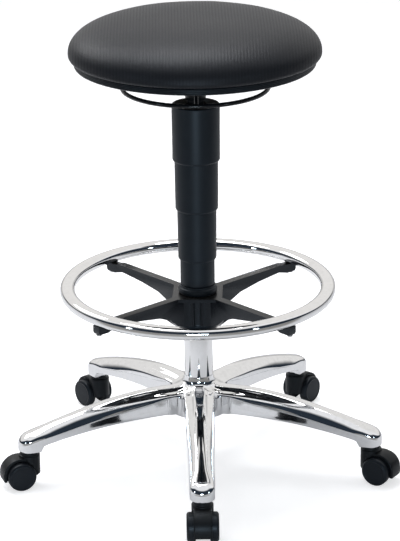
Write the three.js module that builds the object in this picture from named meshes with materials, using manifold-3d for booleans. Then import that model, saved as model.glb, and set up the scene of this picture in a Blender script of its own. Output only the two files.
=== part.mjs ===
// A height-adjustable perch stool: a round padded seat on a gas spring with a telescopic cover,
// a chromed foot ring on a four-spoke spider, and a five-arm polished base on twin-wheel casters.
// All sizes are in millimetres. Heights named Z are measured from the floor, with the seat raised.

import * as THREE from 'three';
import { mergeVertices } from 'three/addons/utils/BufferGeometryUtils.js';
import Module from 'manifold-3d';

const wasm = await Module();
wasm.setup();

// Fits between pieces
const touchGap = 0.3;
const slideGap = 0.4;
const turnGap = 0.5;
const cutOverrun = 3;
const weldDistance = 0.0005;

// Seat: vinyl cushion on a round board with an edge band
const seatRadius = 214;
const seatUndersideZ = 726.4;
const boardThickness = 12;
const bandWidth = 6.2;
const bandInset = 9.5;
const bandRounding = 1.5;
const cushionEdgeHeight = 8.4;
const cushionTuck = 9;
const cushionCrown = 62;

// Pressed seat plate with its dish and taper socket
const plateWidth = 180;
const plateCorner = 14;
const plateThickness = 2.5;
const dishRadius = 48;
const dishWall = 3;
const dishDepth = 26;
const coneLength = 32;
const coneRootRadius = 21;
const coneTipRadius = 17.4;
const seatScrewInset = 14;
const seatScrewShank = 3;
const seatScrewHead = 6;
const seatScrewHeadHeight = 3.5;
const seatScrewGrip = 9;

// Release ring under the seat, with the dished plate that presses the valve pin
const leverRadius = 124;
const leverWire = 3.75;
const leverDrop = 42.4;
const leverSpokeCount = 3;
const leverFirstAngle = -90;
const leverSpokeWire = 3.3;
const leverSpokeDrop = 10.4;
const actuatorRadius = 30;
const actuatorWall = 2.5;
const actuatorFloor = 3;

// Gas spring
const tubeRadius = 14;
const tubeWall = 1.4;
const tubeLength = 376;
const tubeStandProud = 1;
const tubeTaper = 0.5;
const tubeHeadLength = 24;
const tubePlugLength = 6;
const pinRadius = 3.8;
const pinStandProud = 8.6;
const pinLength = 28;
const rodRadius = 5;
const rodNeckRadius = 4;
const rodEndLength = 3.6;
const pistonHeight = 12;
const pistonAbovePlug = 11;
const clipGrooveRadius = 2.9;
const clipRadius = 8;
const clipThickness = 1.5;
const clipMouthAngle = 28;
const bearingRadius = 15;
const bearingHeight = 8;
const guideLength = 80;
const guideFlangeHeight = 2.7;

// Column: chromed stand tube and the four telescopic covers, the widest on top
const columnRadius = 25;
const columnWall = 1.5;
const columnFloor = 4;
const columnFootZ = 92;
const columnTaper = 0.9;
const coverTopDrop = 9.1;
const coverBottomZ = 552;
const coverPitch = 88;
const coverRadii = [39.75, 36.55, 32.35, 28];
const coverTapers = [0.35, 1.3, 0.85, 0];
const coverWall = 1.5;
const coverLipHeight = 4;
const coverChamfer = 1.4;
const coverFlangeHeight = 2.7;
const coverWebDrop = 13.5;
const coverWebThickness = 2.5;
const coverRimHeight = 8.6;
const coverRimGroove = 0.8;
const coverRibCount = 8;
const coverRibThickness = 2;
const coverRibHeight = 7.5;
const coverHubWall = 3.2;
const columnLidThickness = 2.2;
const columnLidBore = 16;

// Foot ring, its spider and the twist collar that clamps it to the column
const footRingRadius = 227;
const footRingWidth = 26;
const footRingHeight = 21;
const footRingZ = 326.3;
const spiderDrop = 8.3;
const spiderHeight = 62;
const spiderBarrelRadius = 30.5;
const spiderFlangeRadius = 33;
const spiderFlangeHeight = 6;
const spiderHubWidth = 86;
const spiderSlabHeight = 6;
const spiderFilletReach = 17;
const spiderFilletWidth = 12;
const spokeCount = 4;
const spokeWidth = 15;
const spokeWall = 3;
const spiderTurnAngle = -3;
const padOutward = 9;
const padInward = 15;
const padThickness = 15.5;
const footScrewShank = 2.5;
const footScrewHead = 5;
const footScrewHeadHeight = 3.2;
const footScrewBite = 5;
const collarRadius = 33.7;
const collarHeight = 14.7;

// Five-arm base
const armCount = 5;
const frontArmAngle = -90;
const stemCircle = 312.5;
const armRootWidth = 54;
const armTipWidth = 42;
const ridgeZ = 147;
const ridgeTipDrop = 0.5;
const archZ = 102.6;
const archTipZ = 71;
const archRootZ = 101.5;
const ridgePeakRadius = 80;
const archPeakRadius = 60;
const recessDepth = 5;
const castWall = 4;
const castRib = 3;
const tipRadius = 20.5;
const tipFaceRadius = 16;
const tipUndersideZ = 66;
const tipHeight = 31.7;
const hubFootZ = 98;
const hubFootRadius = 53;
const hubTopZ = 165;
const hubLipRadius = 26;
const hubPocketInner = 31;
const hubPocketOuter = 43;
const hubPocketDepth = 20;

// Twin-wheel casters
const wheelRadius = 25;
const wheelWidth = 15.5;
const wheelSpread = 23.2;
const wheelShoulder = 2.4;
const wheelFaceWall = 4.2;
const axleRadius = 3;
const casterTrail = 19.5;
const hoodProud = 6;
const hoodWidth = 30;
const hoodRearAngle = -17;
const hoodFrontZ = 24;
const neckRadius = 18.5;
const neckCollarHeight = 8;
const neckCollarRadius = 15.5;
const stemRadius = 5.5;
const stemLength = 40;
const stemEntry = 20;
const casterHeadingAngles = [-90, -33, 51, 128, 199];

// Facets round a full turn
const seatSides = 36;
const coverSides = 24;
const columnSides = 20;
const rodSides = 12;
const bossSides = 12;
const boltSides = 8;
const ringSides = 36;
const ringSectionSides = 10;
const wheelSides = 16;
const hoodSides = 20;
const hubSides = 25;

// Shares that shape the bends, rounded edges and mouldings
const crownRoundingShares = [0.68, 0.89];
const screwFaceShare = 0.8;
const leverBendShares = [0.5, 0.75];
const ringFullnessShare = 0.8;
const spokeRootShare = 0.9;
const spokeReachShares = [0.9, 0.66, 0.45, 0.34, 0.26, 0.2];
const spokeDropShares = [0.195, 0.27, 0.39, 0.55, 0.78, 0.93];
const spokeTopShare = 0.95;
const padHeelShares = [0.15, 0.25];
const spokeFilletShares = [[0, 1], [0.22, 0.5], [0.55, 0.16], [1, 0]];
const spiderFilletShare = 1.3;
const collarRadiusShares = [0.97, 1, 0.98, 0.9];
const collarHeightShares = [0, 0.3, 0.62, 0.8];
const tipRadiusShares = [0.93, 1, 0.99, 0.84, 0.45];
const tipHeightShares = [0.08, 0.24, 0.6, 0.84, 0.97];
const hubFlareShares = [1, 0.82, 0.5, 0.22, 0.08];
const hubHeightShares = [0.36, 0.48, 0.57, 0.7, 0.86];

// Shares of an arm's length, half width and height that shape its outline
const ridgeBendShare = 1.65;
const archBendShare = 2.2;
const archRootBendShare = 1.5;
const armStationShares = [0.06, 0.195, 0.204, 0.31, 0.43, 0.58, 0.74, 0.87, 0.97];
const lipDropShares = [0.25, 0.25, 0.25, 0.39, 0.48, 0.48, 0.53, 0.53, 0.51];
const recessShares = [0, 0, 1, 1, 0.75, 0.42, 0.2, 0.08, 0];
const ridgeWidthShares = [0.42, 0.74, 0.93, 1];
const ridgeDropShares = [0.1, 0.4, 0.78, 1];
const channelStationShares = [0.215, 0.31, 0.43, 0.58, 0.74, 0.9];
const channelWidthShare = 0.6;
const channelRoofShares = [0.4, 0.2];

const black = 0x16181b;
const finishes = {
  vinyl: { color: 0x2b2e33, roughness: 0.42, metalness: 0 },
  band: { color: 0x1d1f23, roughness: 0.5, metalness: 0 },
  board: { color: 0x1b1a19, roughness: 0.7, metalness: 0 },
  blackSteel: { color: black, roughness: 0.45, metalness: 0.4 },
  blackPlastic: { color: black, roughness: 0.6, metalness: 0 },
  chrome: { color: 0xe4e6ea, roughness: 0.08, metalness: 1 },
  castAluminium: { color: 0xd9dbe0, roughness: 0.12, metalness: 1 },
  steel: { color: 0xa9adb3, roughness: 0.3, metalness: 1 },
  nylon: { color: 0xd8d4c6, roughness: 0.6, metalness: 0 },
  tread: { color: 0x1b1e24, roughness: 0.55, metalness: 0 },
};

const stool = new THREE.Group();

// Adds one named piece with its finish, at a place and a turn about the upright axis
function addPiece(parent, name, geometry, finish, place = [0, 0, 0], turn = 0) {
  const piece = new THREE.Mesh(geometry, new THREE.MeshStandardMaterial(finishes[finish]));
  piece.name = name;
  piece.position.set(...place);
  piece.rotation.z = turn;
  parent.add(piece);
}

// Six times a geometry's enclosed volume, negative when its faces point inwards
function signedVolume(position, index) {
  const [a, b, c] = [new THREE.Vector3(), new THREE.Vector3(), new THREE.Vector3()];
  let sum = 0;
  for (let i = 0; i < index.length; i += 3) {
    a.fromBufferAttribute(position, index[i]);
    b.fromBufferAttribute(position, index[i + 1]);
    c.fromBufferAttribute(position, index[i + 2]);
    sum += a.dot(b.cross(c));
  }
  return sum;
}

// Welds shared corners, drops the slivers on an axis and turns the faces outwards
function closed(geometry) {
  const bare = geometry.clone();
  bare.deleteAttribute('normal');
  bare.deleteAttribute('uv');
  const welded = mergeVertices(bare, weldDistance);
  const source = welded.index.array;
  const index = [];
  for (let i = 0; i < source.length; i += 3) {
    const [a, b, c] = [source[i], source[i + 1], source[i + 2]];
    if (a !== b && b !== c && c !== a) index.push(a, b, c);
  }
  if (signedVolume(welded.attributes.position, index) < 0) index.reverse();
  welded.setIndex(index);
  return welded;
}

function toSolid(geometry) {
  const welded = closed(geometry);
  const vertProperties = new Float32Array(welded.attributes.position.array);
  const triVerts = new Uint32Array(welded.index.array);
  return new wasm.Manifold(new wasm.Mesh({ numProp: 3, vertProperties, triVerts }));
}

function toGeometry(solid) {
  const mesh = solid.getMesh();
  const geometry = new THREE.BufferGeometry();
  geometry.setAttribute('position', new THREE.BufferAttribute(new Float32Array(mesh.vertProperties), 3));
  geometry.setIndex(new THREE.BufferAttribute(new Uint32Array(mesh.triVerts), 1));
  return geometry;
}

// Joins the first list of geometries and cuts the second list out of them
function carve(joined, cutters) {
  let solid = toSolid(joined[0]);
  for (const geometry of joined.slice(1)) solid = solid.add(toSolid(geometry));
  for (const geometry of cutters) solid = solid.subtract(toSolid(geometry));
  return toGeometry(solid);
}

// A body turned about the upright axis from its outline of [radius, height] points
function turned(outline, sides, closes = true) {
  const points = outline.map(([radius, height]) => new THREE.Vector2(radius, height));
  if (closes) points.push(points[0].clone());
  return new THREE.LatheGeometry(points, sides).rotateX(Math.PI / 2);
}

// A turned body whose outline starts and ends on the axis
function turnedSolid(outline, sides) {
  return turned(outline, sides, false);
}

function rod(radius, fromZ, toZ, sides) {
  return turnedSolid([[0, fromZ], [radius, fromZ], [radius, toZ], [0, toZ]], sides);
}

// A rod lying along y, centred on the point given by x and z
function crossRod(radius, length, x, z, sides) {
  return new THREE.CylinderGeometry(radius, radius, length, sides).translate(x, 0, z);
}

function block(width, depth, fromZ, toZ) {
  return new THREE.BoxGeometry(width, depth, toZ - fromZ).translate(0, 0, (fromZ + toZ) / 2);
}

// An outline of [x, z] points drawn out along y to both sides of the middle
function sideProfile(outline, width) {
  const shape = new THREE.Shape(outline.map(([x, z]) => new THREE.Vector2(x, z)));
  const geometry = new THREE.ExtrudeGeometry(shape, { depth: width, bevelEnabled: false });
  return geometry.rotateX(Math.PI / 2).translate(0, width / 2, 0);
}

function aroundAxis(geometry, count, firstAngle = 0) {
  const copies = [];
  for (let i = 0; i < count; i += 1) {
    copies.push(geometry.clone().rotateZ(firstAngle + (i * 2 * Math.PI) / count));
  }
  return copies;
}

// The four corners of a square pattern, at half its spacing from both middle lines
function squarePattern(spacing) {
  const half = spacing / 2;
  return [[half, half], [-half, half], [-half, -half], [half, -half]];
}

// Seat

const boardTopZ = seatUndersideZ + boardThickness;
const bandRadius = seatRadius - bandInset;
const boardRadius = bandRadius - bandWidth - touchGap;
const plateTopZ = seatUndersideZ - touchGap;
const plateFootZ = plateTopZ - plateThickness;
const seatScrewSpacing = plateWidth - 2 * seatScrewInset;

function cushion() {
  const footZ = boardTopZ + touchGap;
  const widestZ = footZ + cushionEdgeHeight;
  const [flatness, fullness] = crownRoundingShares;
  const sideSteps = 2;
  const crownSteps = 9;
  const outline = [[0, footZ]];
  for (let i = 0; i < sideSteps; i += 1) {
    const t = ((i / sideSteps) * Math.PI) / 2;
    const radius = seatRadius - cushionTuck * (1 - Math.sin(t));
    outline.push([radius, widestZ - cushionEdgeHeight * Math.cos(t)]);
  }
  for (let i = 0; i < crownSteps; i += 1) {
    const t = ((i / crownSteps) * Math.PI) / 2;
    const radius = seatRadius * Math.cos(t) ** flatness;
    outline.push([radius, widestZ + cushionCrown * Math.sin(t) ** fullness]);
  }
  outline.push([0, widestZ + cushionCrown]);
  return turnedSolid(outline, seatSides);
}

function edgeBand() {
  const inner = bandRadius - bandWidth;
  return turned([
    [inner, seatUndersideZ],
    [bandRadius - bandRounding, seatUndersideZ],
    [bandRadius, seatUndersideZ + bandRounding],
    [bandRadius, boardTopZ - bandRounding],
    [bandRadius - bandRounding, boardTopZ],
    [inner, boardTopZ],
  ], seatSides);
}

function board() {
  const holeTopZ = seatUndersideZ + seatScrewGrip + touchGap;
  const holes = squarePattern(seatScrewSpacing).map(([x, y]) => rod(
    seatScrewShank + touchGap, seatUndersideZ - cutOverrun, holeTopZ, boltSides,
  ).translate(x, y, 0));
  return carve([rod(boardRadius, seatUndersideZ, boardTopZ, seatSides)], holes);
}

const dishFloorZ = plateTopZ - dishDepth;
const coneTipZ = dishFloorZ - dishWall - coneLength;
const tubeTopZ = dishFloorZ + tubeStandProud;
const tubeTopRadius = tubeRadius - tubeTaper;
const leverTurn = THREE.MathUtils.degToRad(leverFirstAngle);

function roundedSquare(side, corner) {
  const half = side / 2;
  const shape = new THREE.Shape();
  const arc = (x, y, from) => shape.absarc(x, y, corner, from, from + Math.PI / 2, false);
  arc(half - corner, half - corner, 0);
  arc(corner - half, half - corner, Math.PI / 2);
  arc(corner - half, corner - half, Math.PI);
  arc(half - corner, corner - half, -Math.PI / 2);
  return shape;
}

function seatPlate() {
  const flange = new THREE.ExtrudeGeometry(roundedSquare(plateWidth, plateCorner), {
    depth: plateThickness, bevelEnabled: false, curveSegments: 3,
  }).translate(0, 0, plateFootZ);
  const dish = turned([
    [tubeRadius + touchGap, coneTipZ],
    [coneTipRadius, coneTipZ],
    [coneRootRadius, dishFloorZ - dishWall],
    [dishRadius, dishFloorZ - dishWall],
    [dishRadius, plateTopZ],
    [dishRadius - dishWall, plateTopZ],
    [dishRadius - dishWall, dishFloorZ],
    [tubeTopRadius + touchGap, dishFloorZ],
  ], columnSides);
  const opening = rod(dishRadius - dishWall, dishFloorZ, plateTopZ + cutOverrun, columnSides);
  const flangeHole = carve([flange], [opening]);
  const slotWidth = 2 * (leverSpokeWire + turnGap + dishWall / 2);
  const slotReach = dishRadius + dishWall;
  const slot = block(slotReach, slotWidth, dishFloorZ, plateTopZ + cutOverrun)
    .translate(dishRadius - dishWall + slotReach / 2 - cutOverrun, 0, 0);
  const holes = squarePattern(seatScrewSpacing).map(([x, y]) => rod(
    seatScrewShank + touchGap, plateFootZ - cutOverrun, plateTopZ + cutOverrun, boltSides,
  ).translate(x, y, 0));
  return carve([dish, flangeHole], [...aroundAxis(slot, leverSpokeCount, leverTurn), ...holes]);
}

function seatScrew() {
  const headTop = plateFootZ - touchGap;
  return turnedSolid([
    [0, headTop - seatScrewHeadHeight],
    [seatScrewHead * screwFaceShare, headTop - seatScrewHeadHeight],
    [seatScrewHead, headTop],
    [seatScrewShank, headTop],
    [seatScrewShank, seatUndersideZ + seatScrewGrip],
    [0, seatUndersideZ + seatScrewGrip],
  ], boltSides);
}

// Release ring and valve

const pinTopZ = tubeTopZ + pinStandProud;
const actuatorFootZ = pinTopZ + touchGap;
const actuatorRimZ = seatUndersideZ - 2 * touchGap;

function releaseRing() {
  const leverZ = seatUndersideZ - leverDrop;
  const spokeZ = seatUndersideZ - leverSpokeDrop;
  const hoop = new THREE.TorusGeometry(leverRadius, leverWire, boltSides, ringSides)
    .translate(0, 0, leverZ);
  const root = actuatorRadius + touchGap;
  const [straight, bent] = leverBendShares.map((share) => root + (leverRadius - root) * share);
  const spokePath = new THREE.CubicBezierCurve3(
    new THREE.Vector3(root, 0, spokeZ),
    new THREE.Vector3(straight, 0, spokeZ),
    new THREE.Vector3(bent, 0, leverZ + leverWire),
    new THREE.Vector3(leverRadius, 0, leverZ),
  );
  const section = new THREE.Shape();
  section.absarc(0, 0, leverSpokeWire, 0, 2 * Math.PI, false);
  const spoke = new THREE.ExtrudeGeometry(section, {
    steps: 5, extrudePath: spokePath, curveSegments: 3,
  });
  return carve([hoop, ...aroundAxis(spoke, leverSpokeCount, leverTurn)], []);
}

function actuatorPlate() {
  const inner = actuatorRadius - actuatorWall;
  return turnedSolid([
    [0, actuatorFootZ],
    [actuatorRadius, actuatorFootZ],
    [actuatorRadius, actuatorRimZ],
    [inner, actuatorRimZ],
    [inner, actuatorFootZ + actuatorFloor],
    [0, actuatorFootZ + actuatorFloor],
  ], columnSides);
}

// Gas spring

const tubeFootZ = tubeTopZ - tubeLength;
const tubeBore = tubeRadius - tubeWall;
const bearingFootZ = columnFootZ + columnFloor + touchGap;
const bearingTopZ = bearingFootZ + bearingHeight;
const clipTopZ = columnFootZ - touchGap;
const clipFootZ = clipTopZ - clipThickness;

function pressureTube() {
  return turned([
    [rodRadius + slideGap, tubeFootZ],
    [tubeRadius, tubeFootZ],
    [tubeRadius, coneTipZ],
    [tubeTopRadius, tubeTopZ],
    [pinRadius + slideGap, tubeTopZ],
    [pinRadius + slideGap, tubeTopZ - tubeHeadLength],
    [tubeBore, tubeTopZ - tubeHeadLength],
    [tubeBore, tubeFootZ + tubePlugLength],
    [rodRadius + slideGap, tubeFootZ + tubePlugLength],
  ], columnSides);
}

function pistonRod() {
  const neckTopZ = bearingTopZ + touchGap;
  const neckFootZ = clipFootZ - rodEndLength;
  const pistonFootZ = tubeFootZ + tubePlugLength + pistonAbovePlug;
  const pistonRadius = tubeBore - touchGap;
  return turnedSolid([
    [0, neckFootZ],
    [rodNeckRadius, neckFootZ],
    [rodNeckRadius, clipFootZ - touchGap],
    [clipGrooveRadius, clipFootZ - touchGap],
    [clipGrooveRadius, clipTopZ + touchGap],
    [rodNeckRadius, clipTopZ + touchGap],
    [rodNeckRadius, neckTopZ],
    [rodRadius, neckTopZ],
    [rodRadius, pistonFootZ],
    [pistonRadius, pistonFootZ],
    [pistonRadius, pistonFootZ + pistonHeight],
    [0, pistonFootZ + pistonHeight],
  ], rodSides);
}

// A spring clip, open on one side so that it pushes into the rod's groove
function retainingClip() {
  const mouth = THREE.MathUtils.degToRad(clipMouthAngle);
  const bore = clipGrooveRadius + touchGap;
  const shape = new THREE.Shape();
  shape.absarc(0, 0, clipRadius, mouth, 2 * Math.PI - mouth, false);
  shape.absarc(0, 0, bore, 2 * Math.PI - mouth, mouth, true);
  return new THREE.ExtrudeGeometry(shape, {
    depth: clipThickness, bevelEnabled: false, curveSegments: 6,
  }).translate(0, 0, clipFootZ);
}

function thrustBearing() {
  const bore = rodNeckRadius + slideGap;
  return turned([
    [bore, bearingFootZ],
    [bearingRadius, bearingFootZ],
    [bearingRadius, bearingTopZ],
    [bore, bearingTopZ],
  ], rodSides);
}

// Column

const coverTopZ = coneTipZ - coverTopDrop;
const columnTopZ = coverBottomZ - 2 * coverPitch + coverLipHeight;
const guideFlangeTopZ = columnTopZ + touchGap + guideFlangeHeight;
const columnBore = columnRadius + turnGap;
const spiderTopZ = footRingZ - spiderDrop;
const spiderFootZ = spiderTopZ - spiderHeight;
const collarFootZ = spiderTopZ + touchGap;
const collarTopZ = collarFootZ + collarHeight;
const coverFootZ = collarTopZ + touchGap;
const padTopZ = footRingZ - footRingHeight / 2 - touchGap;
const padFootZ = padTopZ - padThickness;

function standTube() {
  const footRadius = columnRadius - columnTaper;
  const bore = columnRadius - columnWall;
  return turned([
    [rodNeckRadius + turnGap, columnFootZ],
    [footRadius, columnFootZ],
    [columnRadius, hubTopZ],
    [columnRadius, columnTopZ],
    [bore, columnTopZ],
    [bore, hubTopZ],
    [footRadius - columnWall, columnFootZ + columnFloor],
    [rodNeckRadius + turnGap, columnFootZ + columnFloor],
  ], columnSides);
}

function guideSleeve() {
  const outer = columnRadius - columnWall - touchGap;
  const bore = tubeRadius + slideGap;
  return turned([
    [bore, guideFlangeTopZ - guideLength],
    [outer, guideFlangeTopZ - guideLength],
    [outer, columnTopZ + touchGap],
    [columnRadius, columnTopZ + touchGap],
    [columnRadius, guideFlangeTopZ],
    [bore, guideFlangeTopZ],
  ], columnSides);
}

// Radii of stage i, counted from the widest, at its top and at its foot
function coverSizes(i) {
  const topRadius = coverRadii[i];
  const footRadius = topRadius - coverTapers[i];
  const footZ = coverBottomZ - i * coverPitch;
  return { topRadius, footRadius, footZ, lipRadius: coverRadii[i + 1] + slideGap };
}

// The flange on top of stage i hangs on the lip of the stage above
function flangeRadius(i) {
  const above = coverSizes(i - 1);
  return above.footRadius - coverWall - slideGap;
}

function flangeFootZ(i) {
  return coverSizes(i - 1).footZ + coverLipHeight + touchGap;
}

function topCover() {
  const { topRadius, footRadius, footZ, lipRadius } = coverSizes(0);
  const innerTop = topRadius - coverWall;
  const webTopZ = coverTopZ - coverWebDrop;
  const webFootZ = webTopZ - coverWebThickness;
  const hubBore = tubeRadius + touchGap;
  const hubRadius = hubBore + coverHubWall;
  const grooveZ = coverTopZ - coverRimHeight;
  const shell = turned([
    [lipRadius, footZ],
    [footRadius - coverChamfer, footZ],
    [footRadius, footZ + coverLipHeight],
    [topRadius, grooveZ - coverRimGroove],
    [topRadius - coverRimGroove, grooveZ],
    [topRadius, grooveZ + coverRimGroove],
    [topRadius, coverTopZ - coverRimGroove],
    [topRadius - coverRimGroove, coverTopZ],
    [innerTop, coverTopZ],
    [innerTop, webTopZ],
    [hubRadius, webTopZ],
    [hubRadius, webTopZ + coverRibHeight],
    [hubBore, webTopZ + coverRibHeight],
    [hubBore, webFootZ],
    [innerTop, webFootZ],
    [footRadius - coverWall, footZ + coverLipHeight],
    [lipRadius, footZ + coverLipHeight],
  ], coverSides);
  const ribReach = innerTop - hubRadius + coverWall / 2 + coverHubWall / 2;
  const rib = block(ribReach, coverRibThickness, webTopZ - coverWebThickness / 2, webTopZ + coverRibHeight)
    .translate(hubRadius - coverHubWall / 2 + ribReach / 2, 0, 0);
  return carve([shell, ...aroundAxis(rib, coverRibCount, Math.PI / coverSides)], []);
}

// A middle stage: a tapered sleeve with a flange on top and a lip at its foot
function middleCover(i) {
  const { topRadius, footRadius, footZ, lipRadius } = coverSizes(i);
  const ledgeZ = flangeFootZ(i);
  const topZ = ledgeZ + coverFlangeHeight;
  return turned([
    [lipRadius, footZ],
    [footRadius - coverChamfer, footZ],
    [footRadius, footZ + coverLipHeight],
    [topRadius, ledgeZ],
    [flangeRadius(i), ledgeZ],
    [flangeRadius(i), topZ],
    [topRadius - coverWall, topZ],
    [footRadius - coverWall, footZ + coverLipHeight],
    [lipRadius, footZ + coverLipHeight],
  ], coverSides);
}

// The smallest stage stands over the column and hangs on its top
function bottomCover(i) {
  const radius = coverRadii[i];
  const ledgeZ = flangeFootZ(i);
  const lidFootZ = guideFlangeTopZ + touchGap;
  const lidTopZ = lidFootZ + columnLidThickness;
  return turned([
    [radius - coverWall, coverFootZ],
    [radius, coverFootZ],
    [radius, ledgeZ],
    [flangeRadius(i), ledgeZ],
    [flangeRadius(i), lidTopZ],
    [columnLidBore, lidTopZ],
    [columnLidBore, lidFootZ],
    [radius - coverWall, lidFootZ],
  ], coverSides);
}

// Foot ring

// The hoop's section is a flattened oval, fuller than an ellipse
function footRing() {
  const outline = [];
  for (let i = 0; i < ringSectionSides; i += 1) {
    const t = ((i + 0.5) / ringSectionSides) * 2 * Math.PI;
    const full = (value) => Math.sign(value) * Math.abs(value) ** ringFullnessShare;
    const radius = footRingRadius + (footRingWidth / 2) * full(Math.cos(t));
    outline.push([radius, footRingZ + (footRingHeight / 2) * full(Math.sin(t))]);
  }
  const hoop = turned(outline, ringSides);
  const holeTopZ = padTopZ + touchGap + footScrewBite + touchGap;
  const hole = rod(footScrewShank + touchGap, padFootZ, holeTopZ, boltSides)
    .translate(footRingRadius, 0, 0);
  return carve([hoop], aroundAxis(hole, spokeCount, Math.PI / spokeCount));
}

// Side view of one spoke, from the axis out to the pad under the ring
function spokeOutline() {
  const root = spiderBarrelRadius * spokeRootShare;
  const reach = footRingRadius - padInward;
  const padReach = footRingRadius + padOutward;
  const [heelLength, heelHeight] = padHeelShares.map((share) => padThickness * share);
  const underside = spokeReachShares.map((share, i) => [
    reach * share, spiderTopZ - spiderHeight * spokeDropShares[i],
  ]);
  return [
    [root, spiderTopZ],
    [reach * spokeTopShare, spiderTopZ],
    [reach, padTopZ],
    [padReach, padTopZ],
    [padReach, padFootZ + heelHeight],
    [padReach - heelLength, padFootZ],
    [reach, padFootZ],
    ...underside,
    [root, underside.at(-1)[1]],
  ];
}

// The hollow fillets on both sides of a spoke where it meets the barrel, seen from above
function spokeFillet() {
  const root = spiderBarrelRadius * spokeRootShare;
  const half = spokeWidth / 2;
  const side = spokeFilletShares.map(([outShare, widthShare]) => [
    root + spiderFilletReach * outShare, half + spiderFilletWidth * widthShare,
  ]);
  const other = side.map(([x, y]) => [x, -y]).reverse();
  const shape = new THREE.Shape([...side, ...other].map(([x, y]) => new THREE.Vector2(x, y)));
  const depth = spiderHeight * spokeDropShares.at(-1);
  return new THREE.ExtrudeGeometry(shape, { depth, bevelEnabled: false })
    .translate(0, 0, spiderTopZ - depth);
}

function spider() {
  const slab = block(spiderHubWidth, spiderHubWidth, spiderTopZ - spiderSlabHeight, spiderTopZ);
  const barrel = turnedSolid([
    [0, spiderFootZ],
    [spiderFlangeRadius, spiderFootZ],
    [spiderFlangeRadius, spiderFootZ + spiderFlangeHeight],
    [spiderBarrelRadius, spiderFootZ + spiderFlangeHeight * spiderFilletShare],
    [spiderBarrelRadius, spiderTopZ],
    [0, spiderTopZ],
  ], columnSides);
  const spoke = sideProfile(spokeOutline(), spokeWidth);
  const hollowStart = spiderHubWidth / Math.SQRT2;
  const hollowEnd = footRingRadius - padInward - spokeWall;
  const hollowWidth = spokeWidth - 2 * spokeWall;
  const hollow = block(hollowEnd - hollowStart, hollowWidth, spiderFootZ, spiderTopZ - spokeWall)
    .translate((hollowStart + hollowEnd) / 2, 0, 0);
  const hole = rod(footScrewShank + touchGap, padFootZ - cutOverrun, padTopZ + cutOverrun, boltSides)
    .translate(footRingRadius, 0, 0);
  const diagonal = Math.PI / spokeCount;
  const bore = rod(columnBore, spiderFootZ - cutOverrun, spiderTopZ + cutOverrun, columnSides);
  return carve([
    barrel,
    slab,
    ...aroundAxis(spokeFillet(), spokeCount, diagonal),
    ...aroundAxis(spoke, spokeCount, diagonal),
  ], [
    bore,
    ...aroundAxis(hollow, spokeCount, diagonal),
    ...aroundAxis(hole, spokeCount, diagonal),
  ]);
}

function clampCollar() {
  const outside = collarRadiusShares.map((share, i) => [
    collarRadius * share, collarFootZ + collarHeight * collarHeightShares[i],
  ]);
  return turned([
    [columnBore, collarFootZ],
    ...outside,
    [outside.at(-1)[0], collarTopZ],
    [columnBore, collarTopZ],
  ], columnSides);
}

function footRingScrew() {
  const headTop = padFootZ - touchGap;
  const tipZ = padTopZ + touchGap + footScrewBite;
  return turnedSolid([
    [0, headTop - footScrewHeadHeight],
    [footScrewHead * screwFaceShare, headTop - footScrewHeadHeight],
    [footScrewHead, headTop],
    [footScrewShank, headTop],
    [footScrewShank, tipZ],
    [0, tipZ],
  ], boltSides);
}

// Five-arm base

const tipCrownZ = tipUndersideZ + tipHeight;

function ridgeHeight(radius) {
  const ridgeTipZ = tipCrownZ - ridgeTipDrop;
  const t = Math.max(0, (radius - ridgePeakRadius) / (stemCircle - ridgePeakRadius));
  return ridgeZ - (ridgeZ - ridgeTipZ) * t ** ridgeBendShare;
}

function archHeight(radius) {
  if (radius > archPeakRadius) {
    const t = (radius - archPeakRadius) / (stemCircle - archPeakRadius);
    return archZ - (archZ - archTipZ) * t ** archBendShare;
  }
  const t = (archPeakRadius - radius) / archPeakRadius;
  return archZ - (archZ - archRootZ) * t ** archRootBendShare;
}

function armHalfWidth(radius) {
  return (armRootWidth + (armTipWidth - armRootWidth) * (radius / stemCircle)) / 2;
}

// One right-hand half of the arm's section, from the ridge down to the lower edge
function armHalfSection(radius, lipShare, recessShare) {
  const top = ridgeHeight(radius);
  const foot = archHeight(radius);
  const drop = (top - foot) * lipShare;
  const half = armHalfWidth(radius);
  const recess = recessDepth * recessShare;
  const points = [[0, top]];
  ridgeWidthShares.forEach((widthShare, i) => {
    points.push([half * widthShare, top - drop * ridgeDropShares[i]]);
  });
  points.push([half - recess, top - drop - castWall / 4]);
  points.push([half - recess / 2, foot]);
  return points;
}

// Skins a row of closed sections, all with the same number of points, and caps both ends
function loft(sections) {
  const count = sections[0].length;
  const positions = sections.flat(2);
  const index = [];
  for (let row = 0; row + 1 < sections.length; row += 1) {
    for (let i = 0; i < count; i += 1) {
      const next = (i + 1) % count;
      const [a, b] = [row * count + i, row * count + next];
      index.push(a, b, b + count, a, b + count, a + count);
    }
  }
  const cap = (row, flip) => {
    const outline = sections[row].map(([, y, z]) => new THREE.Vector2(y, z));
    for (const [a, b, c] of THREE.ShapeUtils.triangulateShape(outline, [])) {
      const corners = flip ? [c, b, a] : [a, b, c];
      index.push(...corners.map((corner) => row * count + corner));
    }
  };
  cap(0, true);
  cap(sections.length - 1, false);
  const geometry = new THREE.BufferGeometry();
  geometry.setAttribute('position', new THREE.Float32BufferAttribute(positions, 3));
  geometry.setIndex(index);
  return geometry;
}

function arm() {
  return loft(armStationShares.map((share, i) => {
    const radius = stemCircle * share;
    const half = armHalfSection(radius, lipDropShares[i], recessShares[i]);
    const other = half.slice(1).reverse().map(([y, z]) => [-y, z]);
    return [...half, ...other].map(([y, z]) => [radius, y, z]).reverse();
  }));
}

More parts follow.
